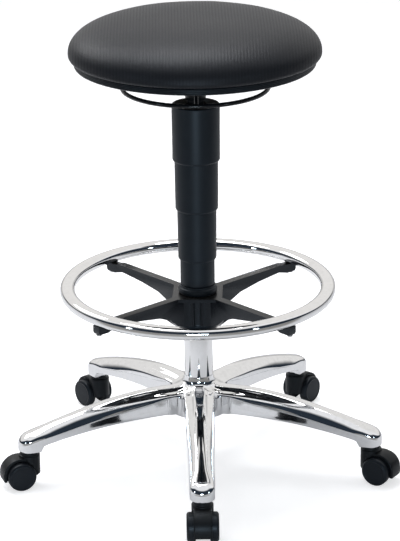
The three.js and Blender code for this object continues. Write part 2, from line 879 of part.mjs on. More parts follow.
// The hollow on one side of the lengthwise rib, open at the underside of the arm
function armChannel(side) {
  const [shoulderShare, crownShare] = channelRoofShares;
  return loft(channelStationShares.map((share) => {
    const radius = stemCircle * share;
    const top = ridgeHeight(radius);
    const foot = archHeight(radius) - cutOverrun;
    const station = armStationShares.findIndex((other) => other >= share);
    const lip = top - (top - archHeight(radius)) * lipDropShares[station];
    const outer = armHalfWidth(radius) - recessDepth * recessShares[station] - castWall;
    const inner = castRib / 2;
    const drop = top - lip;
    const points = [
      [inner, foot],
      [outer, foot],
      [outer, lip - castWall],
      [outer * channelWidthShare, top - drop * shoulderShare - castWall],
      [inner, top - drop * crownShare - castWall],
    ];
    const ring = points.map(([y, z]) => [radius, y * side, z]);
    return side > 0 ? ring : ring.reverse();
  }));
}

function tipBoss() {
  const outside = tipRadiusShares.map((share, i) => [
    tipRadius * share, tipUndersideZ + tipHeight * tipHeightShares[i],
  ]);
  return turnedSolid([
    [0, tipUndersideZ],
    [tipFaceRadius, tipUndersideZ],
    ...outside,
    [0, tipCrownZ],
  ], bossSides).translate(stemCircle, 0, 0);
}

function starBase() {
  const flare = hubFlareShares.map((share, i) => [
    hubLipRadius + (hubFootRadius - hubLipRadius) * share,
    hubFootZ + (hubTopZ - hubFootZ) * hubHeightShares[i],
  ]);
  const hub = turnedSolid([
    [0, hubFootZ],
    [hubFootRadius - castWall, hubFootZ],
    [hubFootRadius, hubFootZ + castWall],
    ...flare,
    [hubLipRadius, hubTopZ],
    [0, hubTopZ],
  ], hubSides);
  const footRadius = columnRadius - columnTaper + touchGap;
  const taperRise = (columnTaper * cutOverrun) / (hubTopZ - columnFootZ);
  const bore = turnedSolid([
    [0, columnFootZ - cutOverrun],
    [footRadius - taperRise, columnFootZ - cutOverrun],
    [columnRadius + touchGap + taperRise, hubTopZ + cutOverrun],
    [0, hubTopZ + cutOverrun],
  ], columnSides);
  const pocket = turned([
    [hubPocketInner, hubFootZ - cutOverrun],
    [hubPocketOuter, hubFootZ - cutOverrun],
    [hubPocketOuter, hubFootZ + hubPocketDepth],
    [hubPocketInner, hubFootZ + hubPocketDepth],
  ], columnSides);
  const socketTopZ = tipUndersideZ + stemEntry + touchGap;
  const socket = rod(stemRadius + touchGap, tipUndersideZ - cutOverrun, socketTopZ, rodSides)
    .translate(stemCircle, 0, 0);
  const first = THREE.MathUtils.degToRad(frontArmAngle);
  return carve([
    hub,
    ...aroundAxis(arm(), armCount, first),
    ...aroundAxis(tipBoss(), armCount, first),
  ], [
    bore,
    pocket,
    ...aroundAxis(armChannel(1), armCount, first),
    ...aroundAxis(armChannel(-1), armCount, first),
    ...aroundAxis(socket, armCount, first),
  ]);
}

// Casters: each is drawn with its stem on the upright axis, trailing along x

const stemTopZ = tipUndersideZ + stemEntry;
const stemFootZ = stemTopZ - stemLength;
const neckTopZ = tipUndersideZ - neckCollarHeight;
const hoodRadius = wheelRadius + hoodProud;
const wheelRim = wheelRadius / Math.cos(Math.PI / wheelSides);
const wheelBoreDepth = wheelWidth - wheelFaceWall;

function casterStem() {
  return rod(stemRadius, stemFootZ, stemTopZ, rodSides);
}

// The fender's round back with the straight front that drops from the neck
function casterHood() {
  const axleZ = wheelRadius;
  const rear = THREE.MathUtils.degToRad(hoodRearAngle);
  const rearX = casterTrail + hoodRadius * Math.cos(rear);
  const rearZ = axleZ + hoodRadius * Math.sin(rear);
  const webWidth = wheelSpread - 2 * turnGap;
  const fender = crossRod(hoodRadius, hoodWidth, casterTrail, axleZ, hoodSides);
  const neck = turnedSolid([
    [0, hoodFrontZ],
    [neckRadius, hoodFrontZ],
    [neckRadius, neckTopZ],
    [neckCollarRadius, neckTopZ],
    [neckCollarRadius, tipUndersideZ - turnGap],
    [0, tipUndersideZ - turnGap],
  ], bossSides);
  const below = sideProfile([
    [-2 * neckRadius, hoodFrontZ],
    [-neckRadius, hoodFrontZ],
    [rearX, rearZ],
    [rearX + neckRadius, rearZ],
    [rearX + neckRadius, -wheelRadius],
    [-2 * neckRadius, -wheelRadius],
  ], 2 * hoodWidth);
  const pocketWidth = hoodWidth / 2;
  const pocketRadius = slideGap + wheelRim / Math.cos(Math.PI / hoodSides);
  const pocket = crossRod(pocketRadius, pocketWidth, casterTrail, axleZ, hoodSides);
  const pocketShift = (webWidth + pocketWidth) / 2;
  const axleBoss = crossRod(3 * axleRadius, webWidth, casterTrail, axleZ, rodSides);
  const shell = carve([fender, neck], [
    below,
    pocket.clone().translate(0, pocketShift, 0),
    pocket.clone().translate(0, -pocketShift, 0),
  ]);
  return carve([shell, axleBoss], [
    crossRod(axleRadius + touchGap, 2 * hoodWidth, casterTrail, axleZ, rodSides),
    rod(stemRadius + slideGap, stemFootZ - touchGap, tipUndersideZ + cutOverrun, rodSides),
  ]);
}

function casterAxle() {
  const length = wheelSpread + 2 * (wheelBoreDepth - touchGap);
  return crossRod(axleRadius, length, casterTrail, wheelRadius, rodSides);
}

// A wheel drawn upright, then laid on its side with one flat facet on the floor
function casterWheel(side) {
  const bore = axleRadius + slideGap;
  const inner = wheelSpread / 2;
  const outer = inner + wheelWidth;
  const disc = turnedSolid([
    [0, inner + wheelBoreDepth],
    [bore, inner + wheelBoreDepth],
    [bore, inner],
    [wheelRim - wheelShoulder, inner],
    [wheelRim, inner + wheelShoulder],
    [wheelRim, outer - wheelShoulder],
    [wheelRim - wheelShoulder, outer],
    [0, outer],
  ], wheelSides);
  return disc.rotateZ(Math.PI / wheelSides)
    .rotateX(side > 0 ? -Math.PI / 2 : Math.PI / 2)
    .translate(casterTrail, 0, wheelRadius);
}

// Assembly, with the column axis set back so that the footprint is centred on the origin

const columnY = (stemCircle * (1 - Math.cos(Math.PI / armCount))) / 2;
const column = new THREE.Group();
column.position.y = columnY;
stool.add(column);

addPiece(column, 'seat_cushion', cushion(), 'vinyl');
addPiece(column, 'seat_edge_band', edgeBand(), 'band');
addPiece(column, 'seat_board', board(), 'board');
addPiece(column, 'seat_plate', seatPlate(), 'blackSteel');
squarePattern(seatScrewSpacing).forEach(([x, y], i) => {
  addPiece(column, `seat_screw_${i + 1}`, seatScrew(), 'steel', [x, y, 0]);
});

addPiece(column, 'release_ring', releaseRing(), 'blackSteel');
addPiece(column, 'actuator_plate', actuatorPlate(), 'steel');
addPiece(column, 'valve_pin', rod(pinRadius, pinTopZ - pinLength, pinTopZ, boltSides), 'steel');

addPiece(column, 'pressure_tube', pressureTube(), 'blackSteel');
addPiece(column, 'piston_rod', pistonRod(), 'steel');
addPiece(column, 'retaining_clip', retainingClip(), 'steel');
addPiece(column, 'thrust_bearing', thrustBearing(), 'steel');
addPiece(column, 'guide_sleeve', guideSleeve(), 'nylon');
addPiece(column, 'stand_tube', standTube(), 'chrome');

addPiece(column, 'cover_stage_1', topCover(), 'blackPlastic');
addPiece(column, 'cover_stage_2', middleCover(1), 'blackPlastic');
addPiece(column, 'cover_stage_3', middleCover(2), 'blackPlastic');
addPiece(column, 'cover_stage_4', bottomCover(3), 'blackPlastic');

const spiderTurn = THREE.MathUtils.degToRad(spiderTurnAngle);
addPiece(column, 'foot_ring', footRing(), 'chrome', [0, 0, 0], spiderTurn);
addPiece(column, 'foot_ring_spider', spider(), 'blackPlastic', [0, 0, 0], spiderTurn);
addPiece(column, 'clamp_collar', clampCollar(), 'blackPlastic');
for (let i = 0; i < spokeCount; i += 1) {
  const angle = spiderTurn + ((i + 0.5) * 2 * Math.PI) / spokeCount;
  const place = [footRingRadius * Math.cos(angle), footRingRadius * Math.sin(angle), 0];
  addPiece(column, `foot_ring_screw_${i + 1}`, footRingScrew(), 'steel', place);
}

addPiece(column, 'star_base', starBase(), 'castAluminium');

casterHeadingAngles.forEach((heading, i) => {
  const angle = THREE.MathUtils.degToRad(frontArmAngle + (i * 360) / armCount);
  const place = [stemCircle * Math.cos(angle), stemCircle * Math.sin(angle), 0];
  const turn = THREE.MathUtils.degToRad(heading);
  const name = `caster_${i + 1}`;
  addPiece(column, `${name}_stem`, casterStem(), 'steel', place);
  addPiece(column, `${name}_hood`, casterHood(), 'blackPlastic', place, turn);
  addPiece(column, `${name}_axle`, casterAxle(), 'steel', place, turn);
  addPiece(column, `${name}_wheel_left`, casterWheel(1), 'tread', place, turn);
  addPiece(column, `${name}_wheel_right`, casterWheel(-1), 'tread', place, turn);
});

export default stool;
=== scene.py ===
# A height-adjustable perch stool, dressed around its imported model.
# Places come from the frame; sizes named here are in millimetres and become metres in to_mesh.

import math

import bmesh
import bpy
from mathutils import Matrix, Vector, noise


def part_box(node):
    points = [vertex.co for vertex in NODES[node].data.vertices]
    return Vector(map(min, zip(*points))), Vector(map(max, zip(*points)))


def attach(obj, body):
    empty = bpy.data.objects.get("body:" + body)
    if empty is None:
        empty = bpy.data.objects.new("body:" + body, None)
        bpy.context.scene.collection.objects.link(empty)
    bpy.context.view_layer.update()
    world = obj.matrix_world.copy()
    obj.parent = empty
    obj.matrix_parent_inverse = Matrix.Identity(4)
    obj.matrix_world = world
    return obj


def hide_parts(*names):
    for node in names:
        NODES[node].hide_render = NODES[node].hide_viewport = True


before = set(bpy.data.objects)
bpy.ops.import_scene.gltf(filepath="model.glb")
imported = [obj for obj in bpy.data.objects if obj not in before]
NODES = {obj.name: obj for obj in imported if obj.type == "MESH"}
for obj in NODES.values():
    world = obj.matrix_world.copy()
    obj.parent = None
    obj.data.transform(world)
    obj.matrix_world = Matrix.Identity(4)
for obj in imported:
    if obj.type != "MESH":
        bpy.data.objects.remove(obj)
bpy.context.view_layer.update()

MM = 0.001
ARM_COUNT = 5
FRONT_ARM = math.radians(-90)
CASTERS = range(1, ARM_COUNT + 1)


def box_mm(node):
    low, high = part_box(node)
    return low / MM, high / MM


def centre_of(node):
    low, high = box_mm(node)
    return (low + high) / 2


COLUMN = centre_of("stand_tube")
AXIS = Vector((COLUMN.x, COLUMN.y, 0))
ORIGIN = Vector((0, 0, 0))


# Camera, world and lights

FOCAL_PIXELS = 2480
IMAGE_LONG_SIDE = 541
SENSOR = 36
CAMERA_PLACE = Vector((-44.34, -4019.2, 1802.6))
CAMERA_TARGET = Vector((4.21, 29.79, 355.9))
CAMERA_ROLL = 0.0117


def make_camera():
    data = bpy.data.cameras.new("photo_camera")
    data.sensor_width = SENSOR
    data.lens = FOCAL_PIXELS * SENSOR / IMAGE_LONG_SIDE
    data.clip_end = 60
    camera = bpy.data.objects.new("photo_camera", data)
    bpy.context.scene.collection.objects.link(camera)
    look = (CAMERA_TARGET - CAMERA_PLACE).normalized()
    right = look.cross(Vector((0, 0, 1))).normalized()
    up = right.cross(look)
    cos, sin = math.cos(CAMERA_ROLL), math.sin(CAMERA_ROLL)
    right, up = right * cos - up * sin, right * sin + up * cos
    rotation = Matrix((right, up, -look)).transposed().to_4x4()
    camera.matrix_world = Matrix.Translation(CAMERA_PLACE * MM) @ rotation
    bpy.context.scene.camera = camera


class Nodes:
    """A short way to write a node tree."""

    def __init__(self, tree):
        self.tree = tree
        tree.nodes.clear()

    def add(self, kind, inputs=None, **settings):
        node = self.tree.nodes.new(kind)
        for name, value in settings.items():
            setattr(node, name, value)
        for name, value in (inputs or {}).items():
            self.set(node.inputs[name], value)
        return node

    def set(self, socket, value):
        if isinstance(value, bpy.types.NodeSocket):
            self.tree.links.new(value, socket)
        else:
            socket.default_value = value

    def math(self, operation, *values, clamp=False):
        node = self.add("ShaderNodeMath", operation=operation, use_clamp=clamp)
        for socket, value in zip(node.inputs, values):
            self.set(socket, value)
        return node.outputs[0]

    def ramp(self, value, low, high, to_low=0.0, to_high=1.0):
        node = self.add("ShaderNodeMapRange", interpolation_type="SMOOTHSTEP")
        limits = {"From Min": low, "From Max": high, "To Min": to_low, "To Max": to_high}
        for name, number in limits.items():
            node.inputs[name].default_value = number
        self.set(node.inputs["Value"], value)
        return node.outputs["Result"]

    def mix(self, factor, first, second):
        node = self.add("ShaderNodeMix", data_type="RGBA")
        self.set(node.inputs["Factor"], factor)
        self.set(node.inputs["A"], first)
        self.set(node.inputs["B"], second)
        return node.outputs["Result"]


def grey(level, alpha=1.0):
    return (level, level, level, alpha)


WORLD_FILL = 0.36
STUDIO_BRIGHT = (0.97, 0.97, 0.985, 1)
BACKDROP = (0.90, 0.885, 0.865, 1)
STUDIO_DARK = (0.024, 0.034, 0.048, 1)
DARK_TOP_TURN, DARK_TOP = (-0.6, 0.4), (0.08, 0.68)
DARK_EDGE = 0.16
HORIZON = (-0.06, 0.02)
BEHIND, BEHIND_SHARE = (-0.9, -0.7), 0.4
BACKDROP_FADE = (-0.6, -0.1)


def make_world():
    """White to the camera. Metal sees a bright studio with a dark end behind the camera."""
    world = bpy.data.worlds.new("studio")
    bpy.context.scene.world = world
    world.use_nodes = True
    n = Nodes(world.node_tree)
    direction = n.add("ShaderNodeTexCoord").outputs["Generated"]
    split = n.add("ShaderNodeSeparateXYZ", {0: direction})
    x, y, z = (split.outputs[i] for i in range(3))
    level = n.math("SQRT", n.math("ADD", n.math("MULTIPLY", x, x), n.math("MULTIPLY", y, y)))
    forward = n.math("DIVIDE", n.math("MULTIPLY", y, -1.0), n.math("ADD", level, 0.001))
    above = n.math("SUBTRACT", z, n.ramp(forward, *DARK_TOP_TURN, *DARK_TOP))
    dark = n.math("MULTIPLY", n.ramp(above, 0.0, DARK_EDGE, 1.0, 0.0), n.ramp(z, *HORIZON))
    dark = n.math("MULTIPLY", dark, n.ramp(forward, *BEHIND, BEHIND_SHARE, 1.0))
    bright = n.mix(n.ramp(forward, *BACKDROP_FADE), BACKDROP, STUDIO_BRIGHT)
    studio = n.mix(dark, bright, STUDIO_DARK)
    path = n.add("ShaderNodeLightPath").outputs
    mirror = n.math("MAXIMUM", path["Is Glossy Ray"], path["Is Transmission Ray"])
    seen = n.mix(mirror, grey(WORLD_FILL), studio)
    colour = n.mix(path["Is Camera Ray"], seen, grey(1.0))
    background = n.add("ShaderNodeBackground", {"Color": colour})
    n.add("ShaderNodeOutputWorld", {"Surface": background.outputs[0]})


FLOOR_RADIUS = 9000
FLOOR_NEAR = (0.74, 0.745, 0.77, 1)
FLOOR_FAR = (0.27, 0.258, 0.245, 1)
FLOOR_FADE = (0.50, 1.05)
FLOOR_FRONT = (-0.35, 0.0)
FLOOR_LIFT = 0.62
FLOOR_MIRROR_LIFT = 0.07


def make_floor():
    """A pale floor that the camera sees as white, apart from the object's soft shadow.

    It darkens in front of the stool, as the end of a paper sweep does, which gives the metal its grey."""
    floor_mesh = bpy.data.meshes.new("floor")
    bm = bmesh.new()
    bmesh.ops.create_circle(bm, cap_ends=True, segments=96, radius=FLOOR_RADIUS * MM)
    bm.to_mesh(floor_mesh)
    bm.free()
    floor = bpy.data.objects.new("floor", floor_mesh)
    bpy.context.scene.collection.objects.link(floor)
    material = bpy.data.materials.new("studio_floor")
    material.use_nodes = True
    n = Nodes(material.node_tree)
    place = n.add("ShaderNodeSeparateXYZ", {0: object_coords(n)})
    x, y = place.outputs[0], place.outputs[1]
    reach = n.math("SQRT", n.math("ADD", n.math("MULTIPLY", x, x), n.math("MULTIPLY", y, y)))
    off_sweep = n.math("MULTIPLY", n.ramp(reach, *FLOOR_FADE), n.ramp(y, *FLOOR_FRONT, 1.0, 0.0))
    matte = n.add("ShaderNodeBsdfDiffuse", {"Color": n.mix(off_sweep, FLOOR_NEAR, FLOOR_FAR)})
    path = n.add("ShaderNodeLightPath").outputs
    mirror = n.math("MAXIMUM", path["Is Glossy Ray"], path["Is Transmission Ray"])
    strength = n.math("MULTIPLY_ADD", path["Is Camera Ray"], FLOOR_LIFT,
                      n.math("MULTIPLY", mirror, FLOOR_MIRROR_LIFT))
    glow = n.add("ShaderNodeEmission", {"Color": grey(1.0), "Strength": strength})
    both = n.add("ShaderNodeAddShader", {0: matte.outputs[0], 1: glow.outputs[0]})
    n.add("ShaderNodeOutputMaterial", {"Surface": both.outputs[0]})
    floor_mesh.materials.append(material)


def add_light(name, place, target, size, power, colour=(1, 1, 1)):
    data = bpy.data.lights.new(name, "AREA")
    data.shape = "RECTANGLE"
    data.size, data.size_y = (side * MM for side in size)
    data.energy = power
    data.color = colour
    light = bpy.data.objects.new(name, data)
    bpy.context.scene.collection.objects.link(light)
    look = Vector(target) - Vector(place)
    turn = look.to_track_quat("-Z", "Y").to_matrix().to_4x4()
    light.matrix_world = Matrix.Translation(Vector(place) * MM) @ turn


COOL = (0.74, 0.89, 1.0)


def make_lights():
    add_light("top_softbox", (-250, 600, 2900), (0, 0, 400), (1800, 1400), 54)
    add_light("left_softbox", (-1700, 1500, 2200), (0, 0, 600), (1200, 1000), 20)
    add_light("side_left", (-3000, -1950, 1000), (0, 0, 500), (260, 900), 8, COOL)
    add_light("side_right", (2550, -2500, 1000), (0, 0, 500), (260, 900), 6, COOL)
    add_light("front_kicker", (-60, -2200, 330), (0, 0, 480), (620, 190), 12, COOL)


# Materials

def object_coords(n):
    return n.add("ShaderNodeTexCoord").outputs["Object"]


def new_material(name):
    """A material with its empty node tree and the coordinates that its textures use."""
    material = bpy.data.materials.new(name)
    material.use_nodes = True
    n = Nodes(material.node_tree)
    return material, n, object_coords(n)


def noise_of(n, coords, scale, detail=3.0, roughness=0.55):
    node = n.add("ShaderNodeTexNoise", {"Vector": coords, "Scale": scale, "Detail": detail,
                                        "Roughness": roughness})
    return node.outputs["Fac"]


def bump_of(n, height, distance, strength=1.0, under=None):
    node = n.add("ShaderNodeBump", {"Height": height, "Distance": distance * MM, "Strength": strength})
    if under is not None:
        n.set(node.inputs["Normal"], under)
    return node.outputs["Normal"]


def finish_material(n, **inputs):
    shader = n.add("ShaderNodeBsdfPrincipled")
    for name, value in inputs.items():
        n.set(shader.inputs[name.replace("_", " ")], value)
    n.add("ShaderNodeOutputMaterial", {"Surface": shader.outputs[0]})


RIB_PITCH = 5.3
RIB_HEIGHT = 0.14


def ribbed_vinyl():
    """Black coated fabric with fine cords that run from front to back, and a leather-like grain."""
    material, n, coords = new_material("ribbed_vinyl")
    split = n.add("ShaderNodeSeparateXYZ", {0: coords})
    wander = n.math("MULTIPLY", n.math("SUBTRACT", noise_of(n, coords, 14.0, 2.0), 0.5), 0.9 * MM)
    across = n.math("MULTIPLY", n.math("ADD", split.outputs[0], wander), 2 * math.pi / (RIB_PITCH * MM))
    wave = n.math("MULTIPLY_ADD", n.math("SINE", across), 0.5, 0.5)
    rib = n.math("POWER", wave, 0.7)
    grain = n.add("ShaderNodeTexVoronoi", {"Vector": coords, "Scale": 900.0}, feature="DISTANCE_TO_EDGE")
    fine = n.ramp(grain.outputs["Distance"], 0.0, 0.22)
    soft = noise_of(n, coords, 9.0, 4.0)
    normal = bump_of(n, rib, RIB_HEIGHT)
    normal = bump_of(n, fine, 0.05, 0.8, normal)
    # Painted shade: the valleys between the cords are painted darker than the cords' tops.
    cord_painted_shade = n.mix(rib, (0.009, 0.010, 0.0125, 1), (0.0125, 0.0138, 0.017, 1))
    colour = n.mix(n.ramp(soft, 0.3, 0.7, 0.0, 0.25), cord_painted_shade, (0.018, 0.0185, 0.021, 1))
    roughness = n.math("ADD", n.ramp(rib, 0.0, 1.0, 0.42, 0.36), n.math("MULTIPLY", soft, 0.06))
    finish_material(n, Base_Color=colour, Roughness=roughness, Normal=normal, Specular_IOR_Level=0.18,
                    Specular_Tint=(0.88, 0.92, 1.0, 1))
    return material


SHEEN = (0.8, 0.9, 1.0, 1)
# Painted light inside the open top of the widest cover: where it reaches, and its lighter grey.
CUP_LIGHT_RADIUS = 39.2
CUP_LIGHT_FOOT = 642.3
CUP_LIGHT_COLOUR = (0.17, 0.163, 0.15, 1)


def painted_cup_light(n, coords, colour):
    """Painted light: the inside of the open top of the widest cover is painted a lighter grey."""
    split = n.add("ShaderNodeSeparateXYZ", {0: coords})
    x, y = split.outputs[0], n.math("SUBTRACT", split.outputs[1], AXIS.y * MM)
    reach = n.math("SQRT", n.math("ADD", n.math("MULTIPLY", x, x), n.math("MULTIPLY", y, y)))
    inside = n.ramp(reach, (CUP_LIGHT_RADIUS + 0.3) * MM, (CUP_LIGHT_RADIUS + 0.6) * MM, 1.0, 0.0)
    above = n.ramp(split.outputs[2], CUP_LIGHT_FOOT * MM, (CUP_LIGHT_FOOT + 0.2) * MM)
    return n.mix(n.math("MULTIPLY", inside, above), colour, CUP_LIGHT_COLOUR)


# Painted sheen: the lighter grey given to the spider's up-facing tops.
TOP_SHEEN_COLOUR = (0.014, 0.0135, 0.013, 1)


def up_facing(n):
    """1 on faces that look straight up, where the nylon is painted a lighter grey as a painted sheen."""
    normal = n.add("ShaderNodeTexCoord").outputs["Normal"]
    upward = n.add("ShaderNodeSeparateXYZ", {0: normal}).outputs[2]
    return n.ramp(upward, 0.85, 0.98)


def moulded(name, dark, light, roughness, grain_scale=1400.0, grain_height=0.03, worn=0.05, shine=0.24,
            cup_lit=False, painted_top_sheen=False):
    """Moulded plastic with a fine spark-eroded grain and faint flow marks."""
    material, n, coords = new_material(name)
    cloud = noise_of(n, coords, 11.0, 5.0)
    grain = noise_of(n, coords, grain_scale, 2.0)
    colour = n.mix(n.ramp(cloud, 0.3, 0.72), dark, light)
    # Painted light: a lighter grey inside the top cover's cup.
    if cup_lit:
        colour = painted_cup_light(n, coords, colour)
    # Painted sheen: faces that look up are painted a lighter grey.
    if painted_top_sheen:
        colour = n.mix(up_facing(n), colour, TOP_SHEEN_COLOUR)
    rough = n.math("ADD", n.ramp(cloud, 0.25, 0.75, roughness, roughness + worn),
                   n.math("MULTIPLY", grain, 0.05))
    finish_material(n, Base_Color=colour, Roughness=rough, Normal=bump_of(n, grain, grain_height),
                    Specular_IOR_Level=shine, Specular_Tint=SHEEN)
    return material


def powder_coat():
    """Black powder coat with orange peel."""
    material, n, coords = new_material("powder_coat")
    peel = noise_of(n, coords, 420.0, 2.0)
    cloud = noise_of(n, coords, 16.0, 4.0)
    colour = n.mix(cloud, (0.0045, 0.0058, 0.0075, 1), (0.0075, 0.0088, 0.0105, 1))
    finish_material(n, Base_Color=colour, Roughness=n.ramp(cloud, 0.3, 0.7, 0.15, 0.22),
                    Normal=bump_of(n, peel, 0.05), Specular_IOR_Level=0.3)
    return material


def bright_metal(name, colour, second, roughness, wave_height, streak):
    """Plated or polished metal: slight waves from the polishing wheel, and fine directionless scratches."""
    material, n, coords = new_material(name)
    waves = noise_of(n, coords, 34.0, 1.5)
    cloud = noise_of(n, coords, 120.0, 5.0, 0.65)
    scratches = n.ramp(noise_of(n, coords, 2600.0, 2.0), 0.55, 0.8)
    tint = n.mix(n.ramp(cloud, 0.35, 0.75), colour, second)
    rough = n.math("ADD", n.ramp(cloud, 0.3, 0.8, roughness, roughness + streak),
                   n.math("MULTIPLY", scratches, streak))
    finish_material(n, Base_Color=tint, Metallic=1.0, Roughness=rough,
                    Normal=bump_of(n, waves, wave_height, 0.6))
    return material


def zinc_steel():
    """Bright zinc plate with a fine crystal cloud."""
    material, n, coords = new_material("zinc_steel")
    crystals = n.add("ShaderNodeTexVoronoi", {"Vector": coords, "Scale": 700.0}).outputs["Distance"]
    cloud = noise_of(n, coords, 60.0, 4.0)
    colour = n.mix(cloud, (0.42, 0.425, 0.44, 1), (0.6, 0.6, 0.61, 1))
    finish_material(n, Base_Color=colour, Metallic=1.0, Roughness=n.ramp(crystals, 0.1, 0.8, 0.24, 0.38),
                    Normal=bump_of(n, crystals, 0.02))
    return material


def stained_plywood():
    """Plywood stained black, whose long grain still shows."""
    material, n, coords = new_material("stained_plywood")
    stretched = n.add("ShaderNodeMapping", {"Vector": coords, "Scale": (5.0, 60.0, 60.0)}).outputs[0]
    grain = noise_of(n, stretched, 3.0, 6.0, 0.6)
    pores = n.ramp(noise_of(n, stretched, 40.0, 2.0), 0.55, 0.75)
    colour = n.mix(n.ramp(grain, 0.3, 0.7), (0.012, 0.0165, 0.0225, 1), (0.019, 0.0245, 0.032, 1))
    colour = n.mix(n.math("MULTIPLY", pores, 0.35), colour, (0.004, 0.004, 0.004, 1))
    finish_material(n, Base_Color=colour, Roughness=n.ramp(grain, 0.2, 0.8, 0.62, 0.78),
                    Normal=bump_of(n, grain, 0.12))
    return material


def make_materials():
    blue_black = (0.0052, 0.0078, 0.0115, 1)
    soft_black = (0.008, 0.0112, 0.0155, 1)
    cover = {"dark": blue_black, "light": soft_black, "roughness": 0.4, "grain_scale": 1100.0, "shine": 0.3}
    return {
        "vinyl": ribbed_vinyl(),
        "band": moulded("band_plastic", (0.004, 0.006, 0.0085, 1), (0.0062, 0.0085, 0.0115, 1), 0.3),
        "cover": moulded("cover_plastic", **cover),
        "cup_lit_cover": moulded("cup_lit_cover_plastic", **cover, cup_lit=True),
        "spider": moulded("spider_nylon", (0.0042, 0.0055, 0.0078, 1), (0.0066, 0.008, 0.0105, 1), 0.2,
                          700.0, 0.015, shine=0.3, painted_top_sheen=True),
        "hood": moulded("hood_nylon", (0.004, 0.0043, 0.005, 1), (0.0065, 0.0068, 0.0075, 1), 0.33,
                        900.0, shine=0.2),
        "wheel": moulded("wheel_plastic", (0.0045, 0.0058, 0.0082, 1), (0.0068, 0.0082, 0.0108, 1), 0.31,
                         800.0),
        "nylon": moulded("guide_nylon", (0.62, 0.6, 0.52, 1), (0.7, 0.68, 0.6, 1), 0.5, shine=0.5),
        "steel_black": powder_coat(),
        "chrome": bright_metal("chrome_plate", (0.83, 0.83, 0.835, 1), (0.79, 0.79, 0.795, 1),
                               0.03, 0.05, 0.025),
        "cast": bright_metal("polished_casting", (0.80, 0.805, 0.815, 1), (0.75, 0.755, 0.765, 1),
                             0.045, 0.16, 0.035),
        "zinc": zinc_steel(),
        "plywood": stained_plywood(),
    }


# Mesh helpers

def smooth_step(t):
    t = min(max(t, 0.0), 1.0)
    return t * t * (3 - 2 * t)


def lerp(a, b, t):
    return a + (b - a) * t


def eased(table, x):
    """A smooth curve through a table of (place, value) rows."""
    if x <= table[0][0]:
        return table[0][1]
    if x >= table[-1][0]:
        return table[-1][1]
    i = next(k for k in range(len(table) - 1) if x <= table[k + 1][0])
    (x0, y0), (x1, y1) = table[i], table[i + 1]

    def slope(k):
        before, after = table[max(k - 1, 0)], table[min(k + 1, len(table) - 1)]
        return (after[1] - before[1]) / (after[0] - before[0])

    span = x1 - x0
    t = (x - x0) / span
    m0, m1 = slope(i) * span, slope(i + 1) * span
    return ((2 * t ** 3 - 3 * t ** 2 + 1) * y0 + (t ** 3 - 2 * t ** 2 + t) * m0
            + (3 * t ** 2 - 2 * t ** 3) * y1 + (t ** 3 - t ** 2) * m1)


def rounded(outline, steps, closed=False):
    """An outline with rounded corners. A point carries its radius as a third number, or stays sharp."""
    result = []
    count = len(outline)
    for i, point in enumerate(outline):
        here = Vector(point[:2])
        radius = point[2] if len(point) > 2 else 0
        if radius <= 0 or (not closed and i in (0, count - 1)):
            result.append(tuple(here))
            continue
        before = Vector(outline[i - 1][:2]) - here
        after = Vector(outline[(i + 1) % count][:2]) - here
        reach = min(radius, before.length * 0.45, after.length * 0.45)
        start, end = here + before.normalized() * reach, here + after.normalized() * reach
        for k in range(steps + 1):
            t = k / steps
            result.append(tuple(start * (1 - t) ** 2 + here * 2 * t * (1 - t) + end * t ** 2))
    return result


def to_mesh(name, points, faces, merge=0.0):
    mesh = bpy.data.meshes.new(name)
    bm = bmesh.new()
    vertices = [bm.verts.new(Vector(p) * MM) for p in points]
    for face in faces:
        corners = [vertices[i] for i in dict.fromkeys(face)]
        if len(corners) > 2:
            bm.faces.new(corners)
    if merge:
        bmesh.ops.remove_doubles(bm, verts=bm.verts, dist=merge * MM)
        bmesh.ops.dissolve_degenerate(bm, edges=bm.edges, dist=merge * MM / 10)
    bmesh.ops.recalc_face_normals(bm, faces=bm.faces)
    bm.to_mesh(mesh)
    bm.free()
    return mesh


def strip(low, high, closed=True):
    """The four-sided faces between two rows of vertices."""
    count = len(low)
    steps = count if closed else count - 1
    return [(low[k], low[(k + 1) % count], high[(k + 1) % count], high[k]) for k in range(steps)]


def prism_faces(count):
    """Both ends and the sides of a body between two equal outlines."""
    low, high = range(count), range(count, 2 * count)
    return [tuple(low), tuple(high)] + strip(low, high)


def stacked_faces(rows, count):
    """The sides of a body whose rows of vertices follow each other."""
    faces = []
    for i in range(rows - 1):
        faces += strip(range(i * count, (i + 1) * count), range((i + 1) * count, (i + 2) * count))
    return faces


def revolve(outline, segments, closed=True, centre=AXIS):
    """A body turned about the upright axis from its outline of (radius, height) points."""
    points, faces, rows = [], [], []
    for radius, height in outline:
        if radius < 0.001:
            rows.append([len(points)] * segments)
            points.append((centre.x, centre.y, height))
            continue
        rows.append(list(range(len(points), len(points) + segments)))
        for k in range(segments):
            a = 2 * math.pi * k / segments
            points.append((centre.x + radius * math.cos(a), centre.y + radius * math.sin(a), height))
    pairs = list(zip(rows, rows[1:] + rows[:1])) if closed else list(zip(rows, rows[1:]))
    for low, high in pairs:
        if low[0] == low[1] and high[0] == high[1]:
            continue
        faces += strip(low, high)
    return points, faces


CUT = 3  # how far a cutter reaches past what it cuts


def cylinder(radius, low, high, segments, centre=AXIS):
    return revolve([(0, low), (radius, low), (radius, high), (0, high)], segments, closed=False, centre=centre)


def sweep(path, radius, sides):
    """A round rod along a path, closed at both ends."""
    points = []
    up = Vector((0, 0, 1))
    for i, place in enumerate(path):
        along = (path[min(i + 1, len(path) - 1)] - path[max(i - 1, 0)]).normalized()
        side = along.cross(up).normalized()
        top = side.cross(along)
        for k in range(sides):
            a = 2 * math.pi * k / sides
            points.append(place + (side * math.cos(a) + top * math.sin(a)) * radius)
    ends = [tuple(range(sides)), tuple(range(len(points) - sides, len(points)))]
    return points, stacked_faces(len(path), sides) + ends


